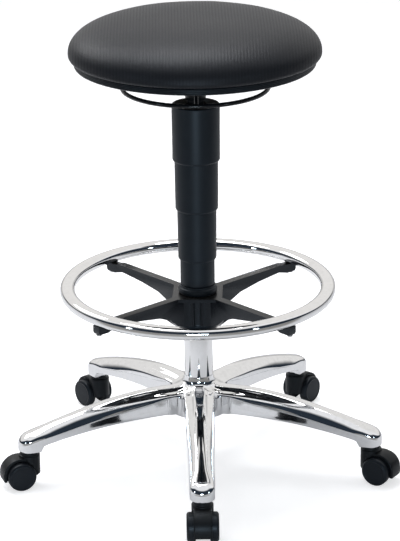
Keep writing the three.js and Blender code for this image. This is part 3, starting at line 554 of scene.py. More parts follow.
def extrude(outline, width, place, along, up=Vector((0, 0, 1))):
    """An outline of (reach, height) points drawn out to both sides of the plane of along and up."""
    side = along.cross(up)
    points = []
    for sign in (-0.5, 0.5):
        points += [place + along * x + up * z + side * (sign * width) for x, z in outline]
    return points, prism_faces(len(outline))


def outward(angle):
    return Vector((math.cos(angle), math.sin(angle), 0))


def turned(points, angle, centre=AXIS):
    turn = Matrix.Rotation(angle, 3, "Z")
    return [turn @ (Vector(p) - centre) + centre for p in points]


def scratch(name, shape):
    """A helper object for booleans."""
    points, faces = shape
    obj = bpy.data.objects.new(name, to_mesh(name, points, faces))
    bpy.context.scene.collection.objects.link(obj)
    return obj


def bake(obj):
    """The object's mesh with its modifiers applied."""
    bpy.context.view_layer.update()
    depsgraph = bpy.context.evaluated_depsgraph_get()
    mesh = bpy.data.meshes.new_from_object(obj.evaluated_get(depsgraph))
    old = obj.data
    obj.modifiers.clear()
    obj.data = mesh
    bpy.data.meshes.remove(old)
    return obj


def combine(base, tools, operation):
    """Joins tools to base, or cuts them out of it, and removes the tools."""
    for tool in tools:
        modifier = base.modifiers.new("combine", "BOOLEAN")
        modifier.operation = operation
        modifier.object = tool
        modifier.solver = "EXACT"
    bake(base)
    for tool in tools:
        bpy.data.objects.remove(tool)
    return base


def soften(obj, width, segments=3, angle=35):
    """Small rounded edges wherever two faces meet at more than the angle."""
    modifier = obj.modifiers.new("soften", "BEVEL")
    modifier.width = width * MM
    modifier.segments = segments
    modifier.limit_method = "ANGLE"
    modifier.angle_limit = math.radians(angle)
    modifier.miter_outer = "MITER_ARC"
    modifier.use_clamp_overlap = True
    return bake(obj)


def shade(mesh, angle=38):
    mesh.shade_smooth()
    mesh.set_sharp_from_angle(angle=math.radians(angle))


def place_piece(name, mesh, material, body, nodes):
    """One piece of the dressed object, which stands for its CAD nodes."""
    shade(mesh)
    mesh.materials.clear()
    mesh.materials.append(material)
    mesh.name = name
    obj = bpy.data.objects.new(name, mesh)
    bpy.context.scene.collection.objects.link(obj)
    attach(obj, body)
    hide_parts(*nodes)
    return obj


def dress(name, shape, material, body, nodes):
    points, faces = shape
    return place_piece(name, to_mesh(name, points, faces), material, body, nodes)


def take_mesh(obj):
    mesh = obj.data
    bpy.data.objects.remove(obj)
    return mesh


# Seat

SEAT_SEGMENTS = 192
CUSHION_TUCK = 9
CUSHION_EDGE = 8.4
CROWN_FLATNESS = 0.68
CROWN_FULLNESS = 0.89
CROWN_ROWS = 60
EDGE_ROWS = 12
PUCKER_COUNT = 46
PUCKER_DEPTH = 0.35
BAND_WIDTH = 6.2


def cushion_shape():
    """A crowned cushion, drawn in at its seam, with faint pulls where the cover is stapled."""
    low, high = box_mm("seat_cushion")
    radius = (high.x - low.x) / 2
    widest = low.z + CUSHION_EDGE
    outline = [(0, low.z)]
    outline += [(radius * 0.5, low.z), (radius - CUSHION_TUCK - 3, low.z)]
    for k in range(EDGE_ROWS):
        t = k / EDGE_ROWS * math.pi / 2
        outline.append((radius - CUSHION_TUCK * (1 - math.sin(t)), widest - CUSHION_EDGE * math.cos(t)))
    for k in range(CROWN_ROWS):
        t = k / CROWN_ROWS * math.pi / 2
        rise = (high.z - widest) * math.sin(t) ** CROWN_FULLNESS
        outline.append((radius * math.cos(t) ** CROWN_FLATNESS, widest + rise))
    outline.append((0, high.z))
    points, faces = revolve(outline, SEAT_SEGMENTS, closed=False)
    moved = []
    for p in points:
        offset = Vector(p) - AXIS
        flat = Vector((offset.x, offset.y))
        reach = flat.length
        if reach < 1 or p[2] <= low.z + 0.01:
            moved.append(p)
            continue
        rise = (p[2] - low.z) / (high.z - low.z)
        pull = math.exp(-rise * 9) * PUCKER_DEPTH
        angle = math.atan2(flat.y, flat.x)
        wave = math.sin(PUCKER_COUNT * angle + 2 * noise.noise(offset * 0.02))
        sag = 0.8 * noise.noise(offset * 0.011) * (1 - math.exp(-rise * 5))
        inward = flat.normalized() * (-pull * (0.5 + 0.5 * wave))
        moved.append((p[0] + inward.x, p[1] + inward.y, p[2] - abs(sag)))
    return moved, faces


def band_shape():
    """An edge trim with three fine lines."""
    low, high = box_mm("seat_edge_band")
    outer = (high.x - low.x) / 2
    inner = outer - BAND_WIDTH
    height = high.z - low.z
    line_depth, line_width = 0.55, 0.9
    outline = [(inner, low.z), (outer - 1.6, low.z, 1.4), (outer - 0.3, low.z + 1.6, 1.2)]
    for share in (0.3, 0.52, 0.74):
        z = low.z + height * share
        outline += [(outer, z - line_width, 0.2), (outer - line_depth, z, 0.3), (outer, z + line_width, 0.2)]
    outline += [(outer - 0.3, high.z - 1.4, 1.0), (outer - 1.8, high.z, 1.0), (inner, high.z)]
    return revolve(rounded(outline, 3), SEAT_SEGMENTS)


LEVER_RADIUS = 124
LEVER_WIRE = 3.75
SPOKE_WIRE = 3.3
SPOKE_COUNT = 3
SPOKE_ROOT = 30.3
LEVER_FIRST = math.radians(-90)
HOOP_LIFT = 2.4


def lever_mesh():
    """The release ring: a bent rod hoop with three cranked spokes."""
    low, high = box_mm("release_ring")
    hoop_z = low.z + LEVER_WIRE + HOOP_LIFT
    spoke_z = high.z - SPOKE_WIRE
    section = []
    sides = 20
    for k in range(sides):
        a = 2 * math.pi * k / sides
        section.append((LEVER_RADIUS + LEVER_WIRE * math.cos(a), hoop_z + LEVER_WIRE * math.sin(a)))
    hoop = scratch("hoop", revolve(section, 160))
    tools = []
    reach = LEVER_RADIUS - SPOKE_ROOT
    ends = [Vector((SPOKE_ROOT, 0, spoke_z)), Vector((SPOKE_ROOT + reach * 0.5, 0, spoke_z)),
            Vector((LEVER_RADIUS - reach * 0.25, 0, hoop_z + LEVER_WIRE)), Vector((LEVER_RADIUS, 0, hoop_z))]
    path = []
    for k in range(25):
        t = k / 24
        path.append(ends[0] * (1 - t) ** 3 + ends[1] * 3 * t * (1 - t) ** 2
                    + ends[2] * 3 * t * t * (1 - t) + ends[3] * t ** 3 + AXIS)
    points, faces = sweep(path, SPOKE_WIRE, 16)
    for k in range(SPOKE_COUNT):
        tools.append(scratch("spoke", (turned(points, LEVER_FIRST + k * 2 * math.pi / SPOKE_COUNT), faces)))
    return take_mesh(combine(hoop, tools, "UNION"))


PLATE_HALF = 90
PLATE_CORNER = 14
PLATE_THICKNESS = 2.5
DISH_RADIUS = 48
DISH_WALL = 3
DISH_DEPTH = 26
CONE_RADII = (21, 17.4)
TUBE_RADIUS = 14
SLOT_HALF = 5.3
SCREW_SPACING = 76
SCREW_HOLE = 3.3


def rounded_square(half, corner, count=24):
    """Points round a square with round corners, evenly numbered by angle."""
    points = []
    for k in range(count * 4):
        a = 2 * math.pi * k / (count * 4)
        x, y = math.cos(a), math.sin(a)
        reach = half / max(abs(x), abs(y))
        p = Vector((x, y)) * reach
        inner = half - corner
        if abs(p.x) > inner and abs(p.y) > inner:
            sx, sy = math.copysign(inner, p.x), math.copysign(inner, p.y)
            middle = Vector((sx, sy))
            d = Vector((x, y))
            b = d.dot(middle)
            p = d * (b + math.sqrt(max(b * b - middle.length_squared + corner ** 2, 0)))
        points.append(p)
    return points


def flange_shape(half, corner, hole, low, high, edge=0.7):
    """A flat plate with round corners, a round hole and softened edges."""
    outer = rounded_square(half, corner)
    inner = [p.normalized() * hole for p in outer]
    rows = []
    for inset, z in ((edge, low), (0, low + edge), (0, high - edge), (edge, high)):
        rows.append([(p * (1 - inset / p.length), z) for p in outer])
    for z in (high, low):
        rows.append([(p, z) for p in inner])
    points = [(AXIS.x + p.x, AXIS.y + p.y, z) for row in rows for p, z in row]
    count = len(outer)
    faces = []
    for r in range(len(rows)):
        a, b = r * count, ((r + 1) % len(rows)) * count
        faces += strip(range(a, a + count), range(b, b + count))
    return points, faces


def seat_plate_mesh():
    """The pressed plate: a flange, a dish that the release plate sits in, and the taper socket."""
    low, high = box_mm("seat_plate")
    dish_floor = high.z - DISH_DEPTH
    flange_foot = high.z - PLATE_THICKNESS
    dish = [
        (TUBE_RADIUS + 0.3, low.z, 0.5), (CONE_RADII[1], low.z, 1.0),
        (CONE_RADII[0], dish_floor - DISH_WALL, 3.0), (DISH_RADIUS, dish_floor - DISH_WALL, 5.0),
        (DISH_RADIUS, flange_foot + 0.3, 0), (DISH_RADIUS - DISH_WALL, flange_foot + 0.3, 0),
        (DISH_RADIUS - DISH_WALL, dish_floor, 2.5), (TUBE_RADIUS - 0.2, dish_floor, 0.5),
    ]
    base = scratch("dish", revolve(rounded(dish, 5, closed=True), 96))
    flange = flange_shape(PLATE_HALF, PLATE_CORNER, DISH_RADIUS - DISH_WALL, flange_foot, high.z)
    base = combine(base, [scratch("flange", flange)], "UNION")
    cutters = []
    for k in range(SPOKE_COUNT):
        a = LEVER_FIRST + k * 2 * math.pi / SPOKE_COUNT
        along = outward(a)
        inner, outer, top = DISH_RADIUS - 6, DISH_RADIUS + 10, flange_foot - 0.01
        outline = [(inner, dish_floor), (outer, dish_floor), (outer, top), (inner, top)]
        cutters.append(scratch("slot", extrude(outline, 2 * SLOT_HALF, AXIS, along)))
    for sx in (-1, 1):
        for sy in (-1, 1):
            middle = AXIS + Vector((sx * SCREW_SPACING, sy * SCREW_SPACING, 0))
            cutters.append(scratch("hole", cylinder(SCREW_HOLE, flange_foot - CUT, high.z + CUT, 24, middle)))
    return take_mesh(combine(base, cutters, "DIFFERENCE"))


def screw_shape(node):
    """A pan-head screw whose head is turned to the floor, with a round socket recess."""
    low, high = box_mm(node)
    middle = centre_of(node)
    head = (high.x - low.x) / 2
    shank = head / 2
    head_height = min(head * 0.6, 3.5)
    outline = [(0, low.z + 1.9, 0), (head * 0.42, low.z + 1.9, 0.1), (head * 0.46, low.z, 0.2),
               (head * 0.8, low.z, 0.9), (head, low.z + head_height * 0.62, 0.9),
               (head, low.z + head_height, 0.3), (shank, low.z + head_height, 0.1),
               (shank, high.z - 0.8, 0.2), (shank - 0.8, high.z, 0.2), (0, high.z, 0)]
    return revolve(rounded(outline, 3), 36, closed=False, centre=Vector((middle.x, middle.y, 0)))


# Column

COVER_WALL = 1.5
COVER_RADII = (41.05, 37.4, 33.8, 29.8)
COVER_TAPERS = (0.35, 0.55, 0.6, 0)
COVER_FOOT_LIFTS = (4.9, 5.5, 4.0, 0)
COVER_TOP_LIFTS = (0, 1.6, 2.6, 0)
FLANGE_STEP = 0.9
FLANGE_HEIGHTS = (0, 2.3, 2.7, 4.1)
INNER_LIP = 1.2
LIP_HEIGHT = 4
SLIDE_GAP = 0.4
WEB_DROP = 13.5
WEB_THICKNESS = 2.5
HUB_WALL = 3.2
RIB_COUNT = 8
RIB_WALL = 2
RIB_RISE = 7.5
COLUMN_SEGMENTS = 96


def cover_span(i):
    """The low and high corners of a stage, moved to where the photo has its lips."""
    low, high = box_mm(f"cover_stage_{i + 1}")
    return low + Vector((0, 0, COVER_FOOT_LIFTS[i])), high + Vector((0, 0, COVER_TOP_LIFTS[i]))


def top_cover_mesh():
    """The widest stage, open at the top, with a ribbed web inside that sits on the gas spring."""
    low, high = cover_span(0)
    top = COVER_RADII[0]
    foot = top - COVER_TAPERS[0]
    lip = COVER_RADII[1] + SLIDE_GAP
    inner = top - COVER_WALL
    web_top = high.z - WEB_DROP
    web_foot = web_top - WEB_THICKNESS
    hub = TUBE_RADIUS + 0.3
    outline = [
        (lip, low.z, 0.2), (foot - 1.4, low.z, 0.4), (foot, low.z + 2.4, 1.2), (foot, low.z + LIP_HEIGHT, 0),
        (top, high.z - 1.2, 0.8), (top - 0.9, high.z, 0.5), (inner, high.z, 0.4),
        (inner, web_top, 1.2), (hub + HUB_WALL, web_top, 1.0), (hub + HUB_WALL, web_top + RIB_RISE, 0.6),
        (hub, web_top + RIB_RISE, 0.6), (hub, web_foot, 0.3), (inner, web_foot, 0.6),
        (foot - COVER_WALL, low.z + INNER_LIP, 0.2), (lip, low.z + INNER_LIP, 0.2),
    ]
    shell = scratch("cover", revolve(rounded(outline, 3, closed=True), COLUMN_SEGMENTS))
    ribs = []
    outline = [(hub + HUB_WALL - 1, web_top - 1), (inner + 0.6, web_top - 1),
               (inner + 0.6, web_top + RIB_RISE * 0.8), (hub + HUB_WALL - 1, web_top + RIB_RISE)]
    for k in range(RIB_COUNT):
        a = 2 * math.pi * (k + 0.5) / RIB_COUNT
        along = outward(a)
        ribs.append(scratch("rib", extrude(outline, RIB_WALL, AXIS, along)))
    return take_mesh(combine(shell, ribs, "UNION"))


def cover_shape(i):
    """A middle or bottom stage, with a small rounded lip at its foot."""
    low, high = cover_span(i)
    top = COVER_RADII[i]
    foot = top - COVER_TAPERS[i]
    flange = top + FLANGE_STEP
    last = i == len(COVER_RADII) - 1
    lip = foot - COVER_WALL if last else COVER_RADII[i + 1] + SLIDE_GAP
    ledge = high.z - FLANGE_HEIGHTS[i]
    outline = [
        (lip, low.z, 0.2), (foot - 1.2, low.z, 0.4), (foot, low.z + 2.2, 1.2), (foot, low.z + LIP_HEIGHT, 0),
        (top, ledge, 0), (flange, ledge, 0.2), (flange, high.z, 0.4),
    ]
    if last:
        outline += [(16, high.z, 0.2), (16, high.z - 2.2, 0.2), (foot - COVER_WALL, high.z - 2.2, 0.2)]
    else:
        outline += [(top - COVER_WALL, high.z, 0.3), (foot - COVER_WALL, low.z + INNER_LIP, 0.2),
                    (lip, low.z + INNER_LIP, 0.2)]
    return revolve(rounded(outline, 3, closed=True), COLUMN_SEGMENTS)


def collar_shape():
    """The twist collar, with a waisted grip."""
    low, high = box_mm("clamp_collar")
    radius = (high.x - low.x) / 2
    bore = 25.5
    height = high.z - low.z
    outline = [
        (bore, low.z, 0.3), (radius * 0.96, low.z, 0.8), (radius, low.z + height * 0.2, 1.5),
        (radius, low.z + height * 0.56, 1.6), (radius * 0.985, low.z + height * 0.66, 0.8),
        (radius * 0.91, low.z + height * 0.8, 1.4), (radius * 0.9, high.z, 0.6), (bore, high.z, 0.3),
    ]
    return revolve(rounded(outline, 4, closed=True), COLUMN_SEGMENTS)


def stand_tube_shape():
    """The plated tube, with its press-in taper at the foot."""
    low, high = box_mm("stand_tube")
    radius = (high.x - low.x) / 2
    taper_top, wall, floor_height, hole = 165, 1.5, 4, 4.5
    foot = radius - 0.9
    outline = [
        (hole, low.z, 0.2), (foot, low.z, 0.6), (radius, taper_top, 0), (radius, high.z, 0.4),
        (radius - wall, high.z, 0.4), (radius - wall, taper_top, 0), (foot - wall, low.z + floor_height, 0.5),
        (hole, low.z + floor_height, 0.2),
    ]
    return revolve(rounded(outline, 3, closed=True), COLUMN_SEGMENTS)


def pressure_tube_shape():
    low, high = box_mm("pressure_tube")
    radius = (high.x - low.x) / 2
    outline = [
        (5.4, low.z, 0.3), (radius, low.z, 1.2), (radius, high.z - 36, 0), (radius - 0.5, high.z, 0.6),
        (4.2, high.z, 0.2), (4.2, high.z - 24, 0), (radius - 1.4, high.z - 24, 0),
        (radius - 1.4, low.z + 6, 0), (5.4, low.z + 6, 0.2),
    ]
    return revolve(rounded(outline, 4, closed=True), 64)


# Foot ring

RING_FULLNESS = 0.8
RING_SECTION_POINTS = 36


def foot_ring_shape():
    """A bent tube of flattened oval section."""
    low, high = box_mm("foot_ring")
    width, height = 26, high.z - low.z
    radius = (high.x - low.x) / 2 - width / 2
    middle = (low.z + high.z) / 2

    def full(value):
        return math.copysign(abs(value) ** RING_FULLNESS, value)

    outline = []
    for k in range(RING_SECTION_POINTS):
        t = 2 * math.pi * (k + 0.5) / RING_SECTION_POINTS
        outline.append((radius + width / 2 * full(math.cos(t)), middle + height / 2 * full(math.sin(t))))
    return revolve(outline, 224)


SPIDER_TURN = math.radians(-3)
SPIDER_HUB_HALF = 43
SPIDER_SLAB = 6
FILLET_REACH, FILLET_WIDTH = 17, 12
SPIDER_BARREL = 30.5
SPIDER_FLANGE = 33
SPIDER_BORE = 25.5
SPOKE_WIDTH = 15
SPOKE_WALL = 3
HOLLOW_START = 60.8
RING_RADIUS = 227
PAD_IN, PAD_OUT = 15, 6.5
PAD_THICKNESS = 15.5
PAD_HOLE = 2.8
SPOKE_REACH_SHARES = (0.9, 0.66, 0.45, 0.34, 0.26, 0.2)
SPOKE_DROP_SHARES = (0.195, 0.27, 0.39, 0.55, 0.78, 0.93)


def upright_prism(plan, angle, foot, top):
    """A plan of (x, y) points round the axis, turned by an angle and drawn up from foot to top."""
    points = [AXIS + Vector((x, y, z)) for z in (foot, top) for x, y in plan]
    return turned(points, angle), prism_faces(len(plan))


def spoke_fillet_shape(angle, foot, top):
    """The hollow fillets on both sides of a spoke where it meets the barrel."""
    root, half, steps = SPIDER_BARREL - 3, SPOKE_WIDTH / 2 - 0.3, 14
    side = []
    for k in range(steps + 1):
        t = k / steps
        side.append((root + FILLET_REACH * t, half + FILLET_WIDTH * (1 - math.sqrt(1 - (1 - t) ** 2))))
    return upright_prism(side + [(x, -y) for x, y in reversed(side)], angle, foot, top)


def spider_mesh():
    """The moulded four-spoke carrier, with its flared hub, flanged foot and screw pads."""
    low, high = box_mm("foot_ring_spider")
    ring_low, _ = box_mm("foot_ring")
    pad_top = ring_low.z - 0.3
    pad_foot = pad_top - PAD_THICKNESS
    height = high.z - low.z
    barrel = [
        (0, low.z, 0), (SPIDER_FLANGE, low.z, 0.8), (SPIDER_FLANGE, low.z + 6, 0.8),
        (SPIDER_BARREL, low.z + 8, 1.6), (SPIDER_BARREL, high.z - 0.2, 0), (0, high.z - 0.2, 0),
    ]
    base = scratch("barrel", revolve(rounded(barrel, 3), 96, closed=False))
    slab = [(p.x, p.y) for p in rounded_square(SPIDER_HUB_HALF, 3, 12)]
    hub = scratch("hub", upright_prism(slab, SPIDER_TURN, high.z - SPIDER_SLAB, high.z - 0.05))
    reach = RING_RADIUS - PAD_IN
    pad_end = RING_RADIUS + PAD_OUT
    outline = [(20, high.z), (reach * 0.95, high.z), (reach, pad_top), (pad_end, pad_top),
               (pad_end, pad_foot + 4), (pad_end - 2.3, pad_foot), (reach, pad_foot)]
    outline += [(reach * r, high.z - height * d) for r, d in zip(SPOKE_REACH_SHARES, SPOKE_DROP_SHARES)]
    spoke_foot = high.z - height * SPOKE_DROP_SHARES[-1]
    outline += [(20, spoke_foot)]
    spokes, hollows = [], []
    for k in range(4):
        a = SPIDER_TURN + math.pi / 4 + k * math.pi / 2
        along = outward(a)
        spokes.append(scratch("spoke", extrude(outline, SPOKE_WIDTH, AXIS, along)))
        spokes.append(scratch("fillet", spoke_fillet_shape(a, spoke_foot, high.z - 0.3)))
        outer, roof = reach - SPOKE_WALL, high.z - SPOKE_WALL
        hollow = [(HOLLOW_START, low.z), (outer, low.z), (outer, roof), (HOLLOW_START, roof)]
        hollows.append(scratch("hollow", extrude(hollow, SPOKE_WIDTH - 2 * SPOKE_WALL, AXIS, along)))
        middle = AXIS + along * RING_RADIUS
        hollows.append(scratch("hole", cylinder(PAD_HOLE, pad_foot - CUT, pad_top + CUT, 24, middle)))
    base = combine(base, [hub] + spokes, "UNION")
    bore = scratch("bore", cylinder(SPIDER_BORE, low.z - CUT, high.z + CUT, 96))
    base = combine(base, [bore] + hollows, "DIFFERENCE")
    return take_mesh(soften(base, 0.9, 3, 30))


# Star base

STEM_CIRCLE = 312.5
ARM_ROOT_WIDTH = 54
ARM_TIP_WIDTH = 42
CREST = 147
CREST_DROP = 49.8
CREST_START = 80
ARCH = 102.6
ARCH_PEAK = 60
ARCH_TIP_DROP = 31.6
ARCH_ROOT_DROP = 1.1
TIP_RADIUS = 21
TIP_FOOT = 66
SOCKET_RADIUS, SOCKET_DEPTH = 5.8, 20.3
POCKET_RADII, POCKET_DEPTH = (31, 43), 20
HUB_FOOT = 98
FILLET = 11.5
VALLEY = 53
STAR_BORE = 25.3
LIP_DROPS = ((0, 11.5), (61, 10.8), (97, 17.4), (134, 19.5), (181, 19.5), (231, 18.8), (272, 16.5), (303, 13.6),
             (335, 11.8))
ROOF_FADE = (115, 235)
ROOF_END = (272, 306)
ROOF_POWER = 2.6
NOSE = 0.87
RECESSES = ((61.5, 0), (64.5, 5), (97, 5), (134, 3.75), (181, 2.1), (231, 1.0), (272, 0.4), (303, 0))
HUB_FLARE = ((25, 165), (25.7, 164.3), (26.3, 158), (28, 151.5), (32, 145.5), (38, 140), (46, 134),
             (53, 126), (60, 100), (80, 20))
SPINE_DEPTH = 4.5
SPINE_FADE = (105, 205)
BLEND = 7.0
HUB_BLEND = 16.0


def crest(x):
    t = max(0.0, (x - CREST_START) / (STEM_CIRCLE - CREST_START))
    return CREST - CREST_DROP * t ** 1.65


def arch(x):
    if x > ARCH_PEAK:
        return ARCH - ARCH_TIP_DROP * ((x - ARCH_PEAK) / (STEM_CIRCLE - ARCH_PEAK)) ** 2.2
    return ARCH - ARCH_ROOT_DROP * ((ARCH_PEAK - x) / ARCH_PEAK) ** 1.5


def half_width(x):
    return (ARM_ROOT_WIDTH + (ARM_TIP_WIDTH - ARM_ROOT_WIDTH) * min(x, STEM_CIRCLE) / STEM_CIRCLE) / 2


def smooth_max(a, b, blend):
    h = max(blend - abs(a - b), 0) / blend
    return max(a, b) + h * h * blend / 4


def arm_top(x, across):
    """Height of an arm's top, where across is 0 on the crest and 1 on the lip."""
    v = abs(across)
    spine = SPINE_DEPTH * (1 - smooth_step((x - SPINE_FADE[0]) / (SPINE_FADE[1] - SPINE_FADE[0])))
    drop = eased(LIP_DROPS, x)
    if v > 1:
        return crest(x) - drop * (1 + 5 * (v - 1))
    roof = smooth_step((x - ROOF_FADE[0]) / (ROOF_FADE[1] - ROOF_FADE[0]))
    roof *= 1 - smooth_step((x - ROOF_END[0]) / (ROOF_END[1] - ROOF_END[0]))
    side = lerp(1 - (1 - v ** 2.3) ** (1 / 2.3), v ** ROOF_POWER, roof)
    return crest(x) - spine * smooth_step((v - 0.3) / 0.3) - (drop - spine) * side


def star_top(x, y):
    """Height of the star's top at a place in the frame of one arm."""
    arms = -1000.0
    for k in (-1, 0, 1):
        a = -k * 2 * math.pi / ARM_COUNT
        along = x * math.cos(a) - y * math.sin(a)
        across = x * math.sin(a) + y * math.cos(a)
        if along > 8:
            arms = smooth_max(arms, arm_top(along, across / half_width(along)), BLEND)
    return smooth_max(arms, eased(HUB_FLARE, math.hypot(x, y)), HUB_BLEND)


def star_foot(x, y):
    reach = math.hypot(x, y)
    foot = lerp(HUB_FOOT, arch(x), smooth_step((reach - 50) / 6))
    return lerp(foot, TIP_FOOT, smooth_step((x - (STEM_CIRCLE - TIP_RADIUS - 2)) / 6))


HALF_COLUMNS = 14
ACROSS = [math.sin(math.pi / 2 * k / HALF_COLUMNS) for k in range(-HALF_COLUMNS, HALF_COLUMNS + 1)]
HUB_ROWS = 26
ARC_STEPS = 24
FOOT_INSET = 1.3
LIP_LAND, LIP_LAND_SHARE = 1.6, 0.15
SECTOR = math.pi / ARM_COUNT


def arm_turn(k):
    return Matrix.Rotation(FRONT_ARM + k * 2 * math.pi / ARM_COUNT, 3, "Z")


def arm_rows():
    """Plan of one arm's sector: rows of places from the bore to the tip's centre."""
    root_half = half_width(VALLEY)
    corner = Vector(((root_half + FILLET) / math.tan(SECTOR), root_half + FILLET))
    valley_x = (corner.length - FILLET) * math.cos(SECTOR)
    rows = []
    for i in range(HUB_ROWS + 1):
        t = (i / HUB_ROWS) ** 1.45
        row = []
        for v in ACROSS:
            start = Vector((STAR_BORE * math.cos(SECTOR * v), STAR_BORE * math.sin(SECTOR * v)))
            row.append(start.lerp(Vector((valley_x, valley_x * math.tan(SECTOR) * v)), t))
        rows.append(row)
    stations = [lerp(valley_x, corner.x, k / 6) for k in range(1, 7)]
    stations += [57, 60, 61, 61.8, 62.6, 63.4, 64.2, 65, 67]
    stations += [lerp(70, STEM_CIRCLE, k / 44) for k in range(45)]
    for x in stations:
        half = half_width(x)
        if x < corner.x:
            half = corner.y - math.sqrt(max(FILLET ** 2 - (x - corner.x) ** 2, 0))
        rows.append([Vector((x, half * v)) for v in ACROSS])
    return rows


def tip_place(reach, k):
    """A place on the slightly flattened arc round the tip."""
    a = math.pi / 2 - math.pi * k / ARC_STEPS
    return Vector((STEM_CIRCLE + NOSE * reach * math.cos(a), reach * math.sin(a)))


def outward_normals(outline):
    last = len(outline) - 1
    normals = []
    for i in range(len(outline)):
        tangent = outline[min(i + 1, last)] - outline[max(i - 1, 0)]
        normals.append(Vector((-tangent.y, tangent.x)).normalized())
    normals[0] = Vector((math.cos(SECTOR), math.sin(SECTOR)))
    normals[-1] = Vector((math.cos(SECTOR), -math.sin(SECTOR)))
    return normals


def skin_top(p):
    if p.x > STEM_CIRCLE:
        across = math.hypot((p.x - STEM_CIRCLE) / NOSE, p.y) / half_width(STEM_CIRCLE)
        return arm_top(p.x, min(across, 1.0))
    return star_top(p.x, p.y)


def wall_section(lip, foot, depth):
    """A side wall's points as (height, distance inward), from its lip past the recess to the foot."""
    land = min(LIP_LAND, (lip - foot) * LIP_LAND_SHARE)
    under = lip - land
    return (
        (lip - land * 0.5, -0.25), (under, 0.0), (under - depth * 0.25, depth * 0.45),
        (under - depth * 0.6 - 0.6, depth), (lerp(under - depth, foot, 0.5), depth * 0.8),
        (foot + 2.2, depth * 0.55), (foot + 0.7, depth * 0.5 + 0.25), (foot, depth * 0.5 + FOOT_INSET),
    )


class ArmSkin:
    """One arm's sector of the casting as one skin: top, side walls, underside and the wall of the bore."""

    def __init__(self):
        self.points, self.faces = [], []
        self.rows = arm_rows()
        right = [row[-1] for row in self.rows[HUB_ROWS:]]
        cap = [tip_place(half_width(STEM_CIRCLE), k) for k in range(1, ARC_STEPS)]
        self.outline = right + cap + [Vector((p.x, -p.y)) for p in reversed(right)]
        self.reach = len(right)
        top, tip = self.top()
        outer = top[HUB_ROWS:]
        edge = [row[-1] for row in outer] + tip[1:-1] + [row[0] for row in reversed(outer)]
        foot = self.underside(self.walls(edge))
        self.join(top[0], foot[0])

    def add(self, p, z):
        self.points.append((p.x, p.y, z))
        return len(self.points) - 1

    def join(self, low, high):
        self.faces += strip(low, high, closed=False)

    def join_grid(self, grid):
        for low, high in zip(grid, grid[1:]):
            self.join(low, high)

    def round_tip(self, last, vertex):
        """Rings of arcs round the tip, from the middle of the last row out to its ends."""
        before = [last[HALF_COLUMNS]] * (ARC_STEPS + 1)
        for m in range(1, HALF_COLUMNS + 1):
            inner = [vertex(m, k) for k in range(1, ARC_STEPS)]
            arc = [last[HALF_COLUMNS + m]] + inner + [last[HALF_COLUMNS - m]]
            self.join(before, arc)
            before = arc
        return before

    def top(self):
        grid = [[self.add(p, skin_top(p)) for p in row] for row in self.rows]
        self.join_grid(grid)

        def vertex(m, k):
            p = tip_place(self.rows[-1][HALF_COLUMNS + m].y, k)
            return self.add(p, skin_top(p))

        return grid, self.round_tip(grid[-1], vertex)

    def walls(self, edge):
        """Rows of vertices down the wall. The last one, which is returned, is the rim of the underside."""
        sections = [wall_section(self.points[i][2], star_foot(p.x, p.y), eased(RECESSES, p.x))
                    for i, p in zip(edge, self.outline)]
        normals = outward_normals(self.outline)
        for level in zip(*sections):
            row = [self.add(p - normal * inward, z)
                   for p, normal, (z, inward) in zip(self.outline, normals, level)]
            self.join(edge, row)
            edge = row
        return edge

    def underside(self, rim):
        def place(i):
            return Vector(self.points[i][:2])

        def add_foot(p):
            return self.add(p, star_foot(p.x, p.y))

        grid = [[add_foot(p) for p in row] for row in self.rows[:HUB_ROWS]]
        for k, row in enumerate(self.rows[HUB_ROWS:]):
            edge = place(rim[k])
            inner = [add_foot(Vector((lerp(p.x, edge.x, abs(v)), edge.y * v)))
                     for p, v in zip(row[1:-1], ACROSS[1:-1])]
            grid.append([rim[-1 - k]] + inner + [rim[k]])
        self.join_grid(grid)
        arc = rim[self.reach - 1:self.reach + ARC_STEPS]
        centre = place(grid[-1][HALF_COLUMNS])

        def vertex(m, k):
            if m == HALF_COLUMNS:
                return arc[k]
            return add_foot(centre.lerp(place(arc[k]), ACROSS[HALF_COLUMNS + m]))

        self.round_tip(grid[-1], vertex)
        return grid


def star_shape():
    skin = ArmSkin()
    points, faces = [], []
    for k in range(ARM_COUNT):
        start = len(points)
        points += [arm_turn(k) @ Vector(p) + AXIS for p in skin.points]
        faces += [tuple(i + start for i in face) for face in skin.faces]
    return points, faces


CHANNEL_WALL = 4
CHANNEL_RIB = 3
CHANNEL_SPAN = (67, 281)


def channel_shape(side):
    """The hollow beside the lengthwise rib, open at the underside."""
    stations = [lerp(*CHANNEL_SPAN, k / 20) for k in range(21)]
    points = []
    for x in stations:
        lip = crest(x) - eased(LIP_DROPS, x)
        outer = half_width(x) - eased(RECESSES, max(x, 66)) - CHANNEL_WALL
        inner = CHANNEL_RIB / 2
        top = min(crest(x) - 9.5, ARCH + 26)
        lip_top = min(lip - CHANNEL_WALL, top - 2)
        ring = [(inner, arch(x) - 8), (outer, arch(x) - 8), (outer, lip_top - 1.5), (outer - 1.5, lip_top),
                (outer * 0.6, lerp(lip_top, top, 0.75)), (inner + 1, top), (inner, top - 1)]
        points += [(x, y * side, z) for y, z in ring]
    count = len(ring)
    ends = [tuple(range(count)), tuple(range(len(points) - count, len(points)))]
    return points, ends + stacked_faces(len(stations), count)


